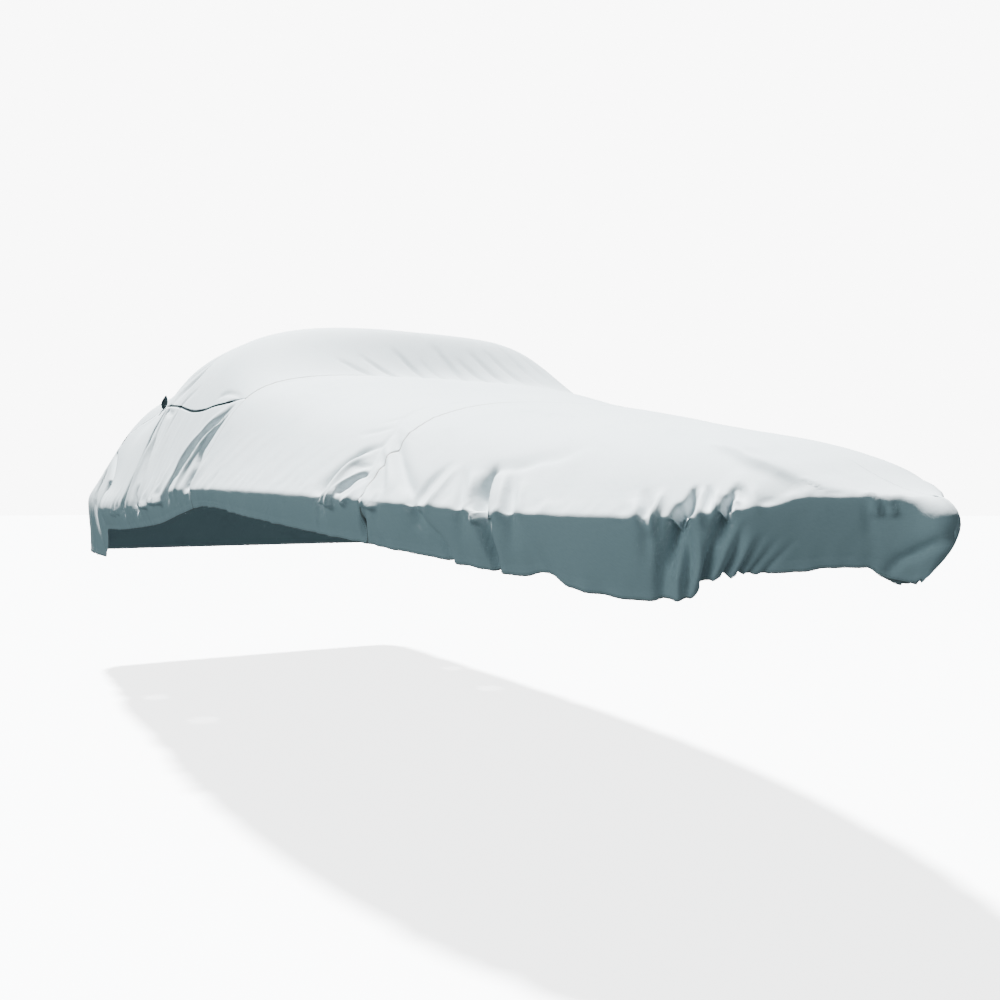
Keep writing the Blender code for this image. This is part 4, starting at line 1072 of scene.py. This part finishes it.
def set_uv(mesh, along, across):
    """The cloth's own length and girth in metres, as its UV map."""
    loops = np.empty(len(mesh.loops), dtype=np.int32)
    mesh.loops.foreach_get("vertex_index", loops)
    uv = mesh.uv_layers.new(name="cloth")
    uv.data.foreach_set("uv", np.stack([along, across], axis=1)[loops].astype(np.float32).ravel())


def set_attribute(mesh, name, values):
    made = mesh.attributes.new(name, "FLOAT", "POINT")
    made.data.foreach_set("value", np.asarray(values, dtype=np.float32))


def merge_doubles(made):
    select_only(made)
    bpy.ops.object.mode_set(mode="EDIT")
    bpy.ops.mesh.select_all(action="SELECT")
    bpy.ops.mesh.remove_doubles(threshold=DOUBLES)
    bpy.ops.mesh.select_all(action="DESELECT")
    bpy.ops.object.mode_set(mode="OBJECT")


def add_thickness(made, thickness):
    """Thickness to the inside, so that the outer face stays where it is."""
    solid = made.modifiers.new("cloth thickness", "SOLIDIFY")
    solid.thickness = thickness
    solid.offset = -1.0
    bpy.ops.object.modifier_apply(modifier=solid.name)


def add_sheet(name, points, along, across, seam_gap, thickness, material, left_out=None):
    """A sheet on a net of points, with its length and girth as UV and its distance from a seam."""
    quads = net_quads(points.shape[:2], left_out)
    used = np.unique(quads)
    number = np.full(along.size, -1)
    number[used] = np.arange(len(used))
    mesh = bpy.data.meshes.new(name)
    mesh.from_pydata(points.reshape(-1, 3)[used].tolist(), [], number[quads].tolist())
    set_uv(mesh, along.ravel()[used], across.ravel()[used])
    set_attribute(mesh, "seam_gap", seam_gap.ravel()[used])
    mesh.materials.append(material)
    mesh.shade_smooth()
    made = bpy.data.objects.new(name, mesh)
    bpy.context.scene.collection.objects.link(made)
    merge_doubles(made)
    add_thickness(made, thickness)
    return made


# ---- the sheets -----------------------------------------------------------------------------------
def body_seam_gap(net):
    """Distance from the nearest seam or hem. The hood's front seam counts only where the strip meets it."""
    gap = np.minimum(net.hem_distance, np.abs(net.stations - CROSS_SEAM_X))
    from_hood = np.abs(net.stations - HOOD_FRONT_EDGE)
    beside_hood = net.stations <= HOOD_FRONT_EDGE - SEAM_TOLERANCE
    return np.minimum(gap, np.where(beside_hood, FAR_FROM_SEAM, from_hood))


def add_body_panel(material):
    """The strip ahead of the hood and both long side walls, with their skirt and hem."""
    stations = stations_of(AFT_SPANS + STRIP_SPANS)
    net = Net(stations, body_girths)
    raise_hem(net)
    starboard = BODY_WALL_COLUMNS[0] + BODY_SKIRT_COLUMNS[0]
    port = starboard + STRIP_TOP_COLUMNS[0] + STRIP_TOP_COLUMNS[1]
    hood_row = row_at(stations, HOOD_FRONT_EDGE)
    inside = round_leg_openings(net)
    points = net.points
    points[-1] = slid_edge(points, -1, -2, CROSS_SEAM_GAP / 2)
    front = (hood_row, slice(starboard + 1, port))
    ahead = (hood_row + 1, slice(starboard + 1, port))
    points[front] = slid_edge(points, front, ahead, CROSS_SEAM_GAP / 2)
    for row in range(hood_row):
        for seam, outward in ((starboard, -1), (port, 1)):
            half_gap = slit_gap(stations[row]) / 2
            points[row, seam] = slid_edge(points, (row, seam), (row, seam + outward), half_gap)
    left_out = cells_at(inside)
    left_out[:hood_row, starboard:port] = True
    return add_sheet("body_cloth", points, net.along_runs, net.across_runs, body_seam_gap(net), CLOTH,
                     material, left_out)


def add_hood_panel(material):
    """The domed top behind the curved seam."""
    stations = stations_of(AFT_SPANS)
    net = Net(stations, hood_girths)
    inside = round_leg_openings(net)
    points = net.points
    points[-1] = slid_edge(points, -1, -2, SIDE_SEAM_GAP / 2)
    for row, x in enumerate(stations):
        for seam, inward in ((0, 1), (-1, -2)):
            points[row, seam] = slid_edge(points, (row, seam), (row, inward), slit_gap(x) / 2)
    seam_gap = np.abs(net.stations - HOOD_FRONT_EDGE)
    return add_sheet("hood_cloth", points, net.along_runs, net.across_runs, seam_gap, CLOTH, material,
                     cells_at(inside))


def add_bow_panel(material):
    """The fore part ahead of the cross seam, with its skirt and hem."""
    net = Net(stations_of(BOW_SPANS), bow_girths)
    raise_hem(net)
    points = net.points
    points[0] = slid_edge(points, 0, 1, CROSS_SEAM_GAP / 2)
    seam_gap = np.minimum(net.hem_distance, np.abs(net.stations - CROSS_SEAM_X))
    return add_sheet("bow_cloth", points, net.along_runs, net.across_runs, seam_gap, CLOTH, material)


def transom_row(top, down):
    """One row of the drop across the stern, at a share of the way down."""
    stern = Section(0.0)
    half_width = top[-1, 1]
    hem_z = to_frame(np.array([0.0, 0.0, STATIONS[0][3]]))[2]
    drawn_in = (stern.place(np.array([1.0 + down])) - stern.place(np.array([1.0])))[0]
    row = top.copy()
    row[:, 2] += (hem_z - top[:, 2]) * down
    row[:, 0] += drawn_in[0]
    row[:, 1] *= (half_width + drawn_in[1]) / half_width
    flat = 1.0 - (row[:, 1] / half_width) ** TRANSOM_FLAT
    bulge = TRANSOM_BULGE * np.sin(np.pi * TRANSOM_BULGE_TURN * down)
    row[:, 0] -= CLOTH + CROSS_SEAM_GAP / 2 + bulge * flat
    ripples = []
    for y in row[:, 1]:
        place = Vector((y * TRANSOM_RIPPLES_ACROSS, down * TRANSOM_RIPPLES_DOWN, TRANSOM_RIPPLE_START))
        ripples.append(noise.noise(place))
    row[:, 0] += TRANSOM_RIPPLE * np.array(ripples) * flat * np.sin(np.pi * TRANSOM_RIPPLE_TURN * down)
    return row


def add_transom_panel(material):
    """The drop across the stern, between the ends of the two skirts."""
    top = Net(np.array([0.0]), stern_girths).points[0]
    shares = [k / TRANSOM_ROWS for k in range(TRANSOM_ROWS + 1)]
    points = np.array([transom_row(top, down) for down in shares])[::-1]
    columns = len(top)
    along = np.repeat(np.linspace(TRANSOM_DROP, 0.0, len(shares))[:, None], columns, axis=1)
    across = np.repeat(top[None, :, 1], len(shares), axis=0)
    seam_gap = np.repeat(np.linspace(0.0, TRANSOM_DROP, len(shares))[:, None], columns, axis=1)
    return add_sheet("transom_cloth", points, along, across, seam_gap, CLOTH, material)


def side_name(side):
    return "port" if side == PORT else "starboard"


def add_slit_tape(side, material):
    """Dark tape that lies under both lips of the slit."""
    half = TAPE_WIDTH / 2

    def tape_girths(x):
        middle = seam_share(x)
        reach = half / girth_length(x)
        return side * np.linspace(middle - reach, middle + reach, TAPE_COLUMNS)

    net = Net(np.arange(TAPE_FROM, TAPE_TO, TAPE_STEP), tape_girths)
    points = net.points - net.normals * (CLOTH + TAPE_UNDER)
    if side == STARBOARD:
        points = points[:, ::-1]
    seam_gap = np.full(net.stations.shape, half)
    name = f"slit_strip_{side_name(side)}"
    return add_sheet(name, points, net.along_runs, net.across_runs, seam_gap, TAPE, material)


def tab_row(foot, inboard, up):
    """One row of the leaf, at a share of its height."""
    half = TAB_WIDE / 2 * (TAB_FOOT + (1.0 - TAB_FOOT) * np.sin(np.pi * up**TAB_WIDEST))
    if up == 1.0:
        half = TAB_WIDE / 2 * TAB_POINT
    middle = foot + np.array([0.0, 0.0, TAB_TALL * up]) + inboard * TAB_LEAN * TAB_TALL * up
    cup = np.cross(inboard, (0.0, 0.0, 1.0)) * TAB_CUP * np.sin(np.pi * up)
    return [middle + inboard * half * s + cup * (1 - s * s) for s in np.linspace(-1.0, 1.0, TAB_COLUMNS)]


def add_slit_tab(side, material):
    """Leaf-shaped tongue that stands up off the slit's rear end and leans inboard."""
    low, high = (np.array(corner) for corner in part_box(f"slit_tab_{side_name(side)}"))
    inboard = unit(np.array([TAB_FORWARD, -side, 0.0]))
    base = (low + high) / 2.0
    base[2] = low[2]
    foot = base - inboard * TAB_LEAN * TAB_TALL * 0.5
    points = np.array([tab_row(foot, inboard, k / TAB_ROWS) for k in range(TAB_ROWS + 1)])
    if side == PORT:
        points = points[:, ::-1]
    along = np.repeat(np.linspace(0.0, TAB_TALL, TAB_ROWS + 1)[:, None], TAB_COLUMNS, axis=1)
    across = np.repeat(np.linspace(0.0, TAB_WIDE, TAB_COLUMNS)[None, :], TAB_ROWS + 1, axis=0)
    seam_gap = np.full(along.shape, TAB_SEAM_GAP)
    return add_sheet(f"slit_leaf_{side_name(side)}", points, along, across, seam_gap, TAPE, material)


# ---- materials ------------------------------------------------------------------------------------
# Sizes in millimetres. A pattern that is too fine to show is drawn coarser, as told beside it.
WEAVE_MM = 3.0               # the real threads are 0.6 mm apart
SLUB_LONG_MM = 16.667        # an uneven stretch of a thread
SLUB_WIDE_MM = 2.381         # four threads side by side
STITCH_MM = 8.0              # real stitches are 4 mm long
STITCH_ROW_MM = 9.0          # from the seam to its row of stitches
STITCH_HALF_MM = 1.6         # half the width of the row, twice the real one
PAINTED_SEAM_SHADE_MM = 7.0           # half the width of the shade painted along a seam and the hem
BLEACH_MM = 454.5            # soft fields of sun bleaching
SOIL_MM = 181.8              # thin stains
RIPPLE_MM = 38.46            # slack ripples between the threads' pulls
RIB_MM = 3.0                 # ribs of the tape, in truth 1 mm apart
WEAR_MM = 25.0               # worn patches of the tape
WEAVE_RELIEF_MM = 0.3
STITCH_RELIEF_MM = 1.2
RIPPLE_RELIEF_MM = 4.0
RIB_RELIEF_MM = 0.4

COVER_CLOTH_LIGHT = "#c6ced1"
COVER_CLOTH_DARK = "#b6c0c4"
COVER_CLOTH_SOILED = "#a3adb0"
# Painted shade: the greyish-brown laid along seams and the hem, where shade falls in their folds.
SEAM_SHADE = "#827f7c"
THREAD = "#8f9798"
TAPE_DARK = "#1a2629"
TAPE_LIGHT = "#33464b"

CLOTH_ROUGHNESS = 0.78       # matt: coated on the inside only
CLOTH_SPECULAR = 0.35
TAPE_ROUGHNESS = 0.55        # smooth filaments
THREAD_SHARE = 0.7           # how strongly the thread's colour shows
SEAM_SHADE_SHARE = 0.9       # how dark the shade painted in a seam is

# Sockets of a colour mix.
MIX_FIRST = 6
MIX_SECOND = 7
MIX_RESULT = 2


def colour(text):
    """A #rrggbb colour as linear RGBA."""
    parts = [int(text[k:k + 2], 16) / 255.0 for k in (1, 3, 5)]
    linear = [c / 12.92 if c <= 0.04045 else ((c + 0.055) / 1.055) ** 2.4 for c in parts]
    return (*linear, 1.0)


def metres(size_mm):
    return size_mm / 1000.0


def per_metre(size_mm):
    """How many of a size go in a metre, which is the scale of a pattern."""
    return 1000.0 / size_mm


def add_node(material, kind, settings=None, values=None, links=None):
    """Adds a shader node, with its settings, its inputs' values and what is linked into them."""
    made = material.node_tree.nodes.new(kind)
    for name, value in (settings or {}).items():
        setattr(made, name, value)
    for name, value in (values or {}).items():
        made.inputs[name].default_value = value
    for name, source in (links or {}).items():
        material.node_tree.links.new(source, made.inputs[name])
    return made


def new_material(name):
    made = bpy.data.materials.new(name)
    made.use_nodes = True
    return made, made.node_tree.nodes["Principled BSDF"]


def wave_along(material, value, period_mm):
    """A wave from 0 to 1 along a length in metres."""
    turns = add_node(material, "ShaderNodeMath", {"operation": "MULTIPLY"},
                     {1: 2.0 * math.pi * per_metre(period_mm)}, {0: value})
    swing = add_node(material, "ShaderNodeMath", {"operation": "SINE"}, links={0: turns.outputs[0]})
    wave = add_node(material, "ShaderNodeMath", {"operation": "MULTIPLY_ADD"}, {1: 0.5, 2: 0.5},
                    {0: swing.outputs[0]})
    return wave.outputs[0]


def near_value(material, value, middle_mm, half_mm):
    """1 where a length in metres is near its middle value, and 0 further off than half_mm."""
    sides = []
    for end_mm in (middle_mm - half_mm, middle_mm + half_mm):
        side = add_node(material, "ShaderNodeMapRange", {"interpolation_type": "SMOOTHSTEP"},
                        {"From Min": metres(end_mm), "From Max": metres(middle_mm)}, {"Value": value})
        sides.append(side.outputs[0])
    return add_node(material, "ShaderNodeMath", {"operation": "MINIMUM"},
                    links={0: sides[0], 1: sides[1]}).outputs[0]


def bleached_colour(material, place):
    """The dyed cloth's own colour, in soft fields where the sun has bleached it."""
    fields = add_node(material, "ShaderNodeTexNoise",
                      values={"Scale": per_metre(BLEACH_MM), "Detail": 5.0, "Roughness": 0.6},
                      links={"Vector": place})
    mixed = add_node(material, "ShaderNodeMix", {"data_type": "RGBA"},
                     {MIX_FIRST: colour(COVER_CLOTH_DARK), MIX_SECOND: colour(COVER_CLOTH_LIGHT)},
                     {"Factor": fields.outputs["Fac"]})
    return mixed.outputs[MIX_RESULT]


def soiled_colour(material, place, ground):
    """Thin stains on the cloth."""
    spots = add_node(material, "ShaderNodeTexNoise",
                     values={"Scale": per_metre(SOIL_MM), "Detail": 6.0, "Roughness": 0.65},
                     links={"Vector": place})
    stain = add_node(material, "ShaderNodeMapRange",
                     values={"From Min": 0.56, "From Max": 0.80, "To Max": 0.5},
                     links={"Value": spots.outputs["Fac"]})
    mixed = add_node(material, "ShaderNodeMix", {"data_type": "RGBA"},
                     {MIX_SECOND: colour(COVER_CLOTH_SOILED)},
                     {"Factor": stain.outputs[0], MIX_FIRST: ground})
    return mixed.outputs[MIX_RESULT]


def threaded_colour(material, uv, ground):
    """Threads of uneven thickness, longer along the warp."""
    slubs = add_node(material, "ShaderNodeMapping",
                     values={"Scale": (per_metre(SLUB_LONG_MM), per_metre(SLUB_WIDE_MM), 1.0)},
                     links={"Vector": uv})
    yarn = add_node(material, "ShaderNodeTexNoise", values={"Scale": 1.0, "Detail": 2.0},
                    links={"Vector": slubs.outputs["Vector"]})
    tint = add_node(material, "ShaderNodeMapRange",
                    values={"From Min": 0.35, "From Max": 0.75, "To Max": 0.22},
                    links={"Value": yarn.outputs["Fac"]})
    mixed = add_node(material, "ShaderNodeMix", {"data_type": "RGBA"},
                     {MIX_SECOND: colour(COVER_CLOTH_SOILED)},
                     {"Factor": tint.outputs[0], MIX_FIRST: ground})
    return mixed.outputs[MIX_RESULT]


def stitch_marks(material, lengths, seam):
    """1 on the stitches in the row beside a seam, whichever way the seam runs."""
    both_ways = add_node(material, "ShaderNodeMath", {"operation": "ADD"},
                         links={0: lengths.outputs[0], 1: lengths.outputs[1]})
    dashes = wave_along(material, both_ways.outputs[0], STITCH_MM)
    row = near_value(material, seam, STITCH_ROW_MM, STITCH_HALF_MM)
    return add_node(material, "ShaderNodeMath", {"operation": "MULTIPLY"},
                    links={0: row, 1: dashes}).outputs[0]


def marked_colour(material, marks, strength, mark_colour, ground):
    """A colour laid over the ground where the marks are, at most as strongly as it says."""
    share = add_node(material, "ShaderNodeMath", {"operation": "MULTIPLY"}, {1: strength}, {0: marks})
    mixed = add_node(material, "ShaderNodeMix", {"data_type": "RGBA"}, {MIX_SECOND: colour(mark_colour)},
                     {"Factor": share.outputs[0], MIX_FIRST: ground})
    return mixed.outputs[MIX_RESULT]


def cloth_relief(material, place, lengths, stitches):
    """Plain weave, drawn-in stitches and slack ripples, one over the other."""
    warp = wave_along(material, lengths.outputs[0], WEAVE_MM)
    weft = wave_along(material, lengths.outputs[1], WEAVE_MM)
    weave = add_node(material, "ShaderNodeMath", {"operation": "MULTIPLY"}, links={0: warp, 1: weft})
    woven = add_node(material, "ShaderNodeBump",
                     values={"Strength": 0.35, "Distance": metres(WEAVE_RELIEF_MM)},
                     links={"Height": weave.outputs[0]})
    stitched = add_node(material, "ShaderNodeBump", {"invert": True},
                        {"Strength": 0.6, "Distance": metres(STITCH_RELIEF_MM)},
                        {"Height": stitches, "Normal": woven.outputs["Normal"]})
    ripples = add_node(material, "ShaderNodeTexNoise",
                       values={"Scale": per_metre(RIPPLE_MM), "Detail": 3.0, "Roughness": 0.5},
                       links={"Vector": place})
    rippled = add_node(material, "ShaderNodeBump",
                       values={"Strength": 0.25, "Distance": metres(RIPPLE_RELIEF_MM)},
                       links={"Height": ripples.outputs["Fac"], "Normal": stitched.outputs["Normal"]})
    return rippled.outputs["Normal"]


def make_cover_cloth():
    """Woven polyester, dyed in the yarn and coated inside: matt pale grey-blue, a fine plain weave, a
    little sun-bleached and soiled, and puckered where it is stitched. Shade is painted into its colour
    along the seams and the hem."""
    material, shader = new_material("woven_coated_polyester")
    place = add_node(material, "ShaderNodeTexCoord").outputs["Object"]
    uv = add_node(material, "ShaderNodeUVMap", {"uv_map": "cloth"}).outputs["UV"]
    lengths = add_node(material, "ShaderNodeSeparateXYZ", links={0: uv})
    seam = add_node(material, "ShaderNodeAttribute", {"attribute_name": "seam_gap"}).outputs["Fac"]
    ground = bleached_colour(material, place)
    ground = soiled_colour(material, place, ground)
    ground = threaded_colour(material, uv, ground)
    stitches = stitch_marks(material, lengths, seam)
    ground = marked_colour(material, stitches, THREAD_SHARE, THREAD, ground)
    # Painted shade: the colour is darkened within a few millimetres of each seam and of the hem.
    painted_seam_shade = near_value(material, seam, 0.0, PAINTED_SEAM_SHADE_MM)
    ground = marked_colour(material, painted_seam_shade, SEAM_SHADE_SHARE, SEAM_SHADE, ground)
    relief = cloth_relief(material, place, lengths, stitches)
    shader.inputs["Roughness"].default_value = CLOTH_ROUGHNESS
    shader.inputs["Specular IOR Level"].default_value = CLOTH_SPECULAR
    material.node_tree.links.new(ground, shader.inputs["Base Color"])
    material.node_tree.links.new(relief, shader.inputs["Normal"])
    return material


def make_closing_tape():
    """Woven nylon tape, dyed dark: close ribs across its length and a slight gloss on their backs."""
    material, shader = new_material("woven_nylon_tape")
    uv = add_node(material, "ShaderNodeUVMap", {"uv_map": "cloth"}).outputs["UV"]
    lengths = add_node(material, "ShaderNodeSeparateXYZ", links={0: uv})
    ribs = wave_along(material, lengths.outputs[0], RIB_MM)
    wear = add_node(material, "ShaderNodeTexNoise", values={"Scale": per_metre(WEAR_MM), "Detail": 4.0},
                    links={"Vector": uv})
    worn = add_node(material, "ShaderNodeMath", {"operation": "MULTIPLY"},
                    links={0: ribs, 1: wear.outputs["Fac"]})
    tint = add_node(material, "ShaderNodeMix", {"data_type": "RGBA"},
                    {MIX_FIRST: colour(TAPE_DARK), MIX_SECOND: colour(TAPE_LIGHT)},
                    {"Factor": worn.outputs[0]})
    relief = add_node(material, "ShaderNodeBump",
                      values={"Strength": 0.6, "Distance": metres(RIB_RELIEF_MM)}, links={"Height": ribs})
    shader.inputs["Roughness"].default_value = TAPE_ROUGHNESS
    material.node_tree.links.new(tint.outputs[MIX_RESULT], shader.inputs["Base Color"])
    material.node_tree.links.new(relief.outputs["Normal"], shader.inputs["Normal"])
    return material


# ---- studio ---------------------------------------------------------------------------------------
# Spreads and turns are in degrees.
STUDIO_ROUGHNESS = 0.9
FLOOR_Z = -2.20
FLOOR_SIZE = 120.0
FLOOR_WHITE = "#e4e6e7"
FLOOR_GLOW = 4.0
BACKDROP_RADIUS = 58.0
BACKDROP_BASE = "#000000"
BACKDROP_GLOW = 9.0
KEY_STRENGTH = 30.0
KEY_SPREAD = 5.0
KEY_COLOUR = (0.985, 0.995, 1.0)
KEY_TURN = (3.0, -20.0, 0.0)
SIDE_STRENGTH = 0.75
SIDE_SPREAD = 40.0
SIDE_FROM = (0.0, -0.95, 0.30)
FILL_STRENGTH = 0.20
FILL_COLOUR = (0.66, 0.93, 1.0)


def make_lit(name, text, strength):
    """Plain white studio surface that is lit through, so that shadows on it stay pale."""
    material, shader = new_material(name)
    shader.inputs["Base Color"].default_value = colour(text)
    shader.inputs["Roughness"].default_value = STUDIO_ROUGHNESS
    shader.inputs["Emission Color"].default_value = (1.0, 1.0, 1.0, 1.0)
    shader.inputs["Emission Strength"].default_value = strength
    return material


def finish_stage(name, material):
    """Names the surface just added. It shows, but lights nothing on the cover."""
    surface = bpy.context.active_object
    surface.name = name
    surface.data.materials.append(material)
    surface.visible_diffuse = False
    surface.visible_glossy = False
    return surface


def add_floor():
    bpy.ops.object.select_all(action="DESELECT")
    bpy.ops.mesh.primitive_plane_add(size=FLOOR_SIZE, location=(0.0, 0.0, FLOOR_Z))
    finish_stage("studio_floor", make_lit("lit_white_floor", FLOOR_WHITE, FLOOR_GLOW))


def add_backdrop():
    bpy.ops.object.select_all(action="DESELECT")
    bpy.ops.mesh.primitive_uv_sphere_add(segments=48, ring_count=24, radius=BACKDROP_RADIUS,
                                         location=(0.0, 0.0, 0.0))
    material = make_lit("lit_white_backdrop", BACKDROP_BASE, BACKDROP_GLOW)
    backdrop = finish_stage("studio_backdrop", material)
    backdrop.visible_transmission = False
    backdrop.visible_shadow = False


def add_sun(name, strength, spread, light_colour):
    data = bpy.data.lights.new(name, "SUN")
    data.energy = strength
    data.angle = math.radians(spread)
    data.color = light_colour
    light = bpy.data.objects.new(name, data)
    bpy.context.scene.collection.objects.link(light)
    return light


def add_lights():
    """Soft light from above, a little from the starboard side, and a faint fill all round."""
    key = add_sun("overhead_soft_light", KEY_STRENGTH, KEY_SPREAD, KEY_COLOUR)
    key.rotation_euler = [math.radians(angle) for angle in KEY_TURN]
    side = add_sun("side_soft_light", SIDE_STRENGTH, SIDE_SPREAD, FILL_COLOUR)
    side.rotation_mode = "QUATERNION"
    side.rotation_quaternion = Vector(SIDE_FROM).to_track_quat("Z", "Y")
    world = bpy.data.worlds.new("studio_fill")
    world.use_nodes = True
    fill = world.node_tree.nodes["Background"]
    fill.inputs["Color"].default_value = (*FILL_COLOUR, 1.0)
    fill.inputs["Strength"].default_value = FILL_STRENGTH
    bpy.context.scene.world = world
    bpy.context.scene.view_settings.view_transform = "AgX"


# ---- the cover ------------------------------------------------------------------------------------
def finish_piece(piece, node):
    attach(piece, "root")
    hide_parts(node)


def add_panels(cloth):
    """The four sheets, each with its node, the size it was cut to and its area."""
    panels = (
        (add_body_panel(cloth), "body_panel", (5.20, 3.90), 8.4),
        (add_hood_panel(cloth), "hood_panel", (3.90, 3.40), 10.1),
        (add_bow_panel(cloth), "bow_panel", (2.50, 1.80), 3.1),
        (add_transom_panel(cloth), "transom_panel", (2.40, 0.50), 1.13),
    )
    for piece, node, flat, area in panels:
        finish_piece(piece, node)


def add_slit_pieces(side, tape):
    """The tape and the tab of the slit on one side."""
    strip = add_slit_tape(side, tape)
    finish_piece(strip, f"slit_tape_{side_name(side)}")
    leaf = add_slit_tab(side, tape)
    finish_piece(leaf, f"slit_tab_{side_name(side)}")


def main():
    add_camera()
    add_panels(make_cover_cloth())
    tape = make_closing_tape()
    for side in (STARBOARD, PORT):
        add_slit_pieces(side, tape)
    add_floor()
    add_backdrop()
    add_lights()


main()
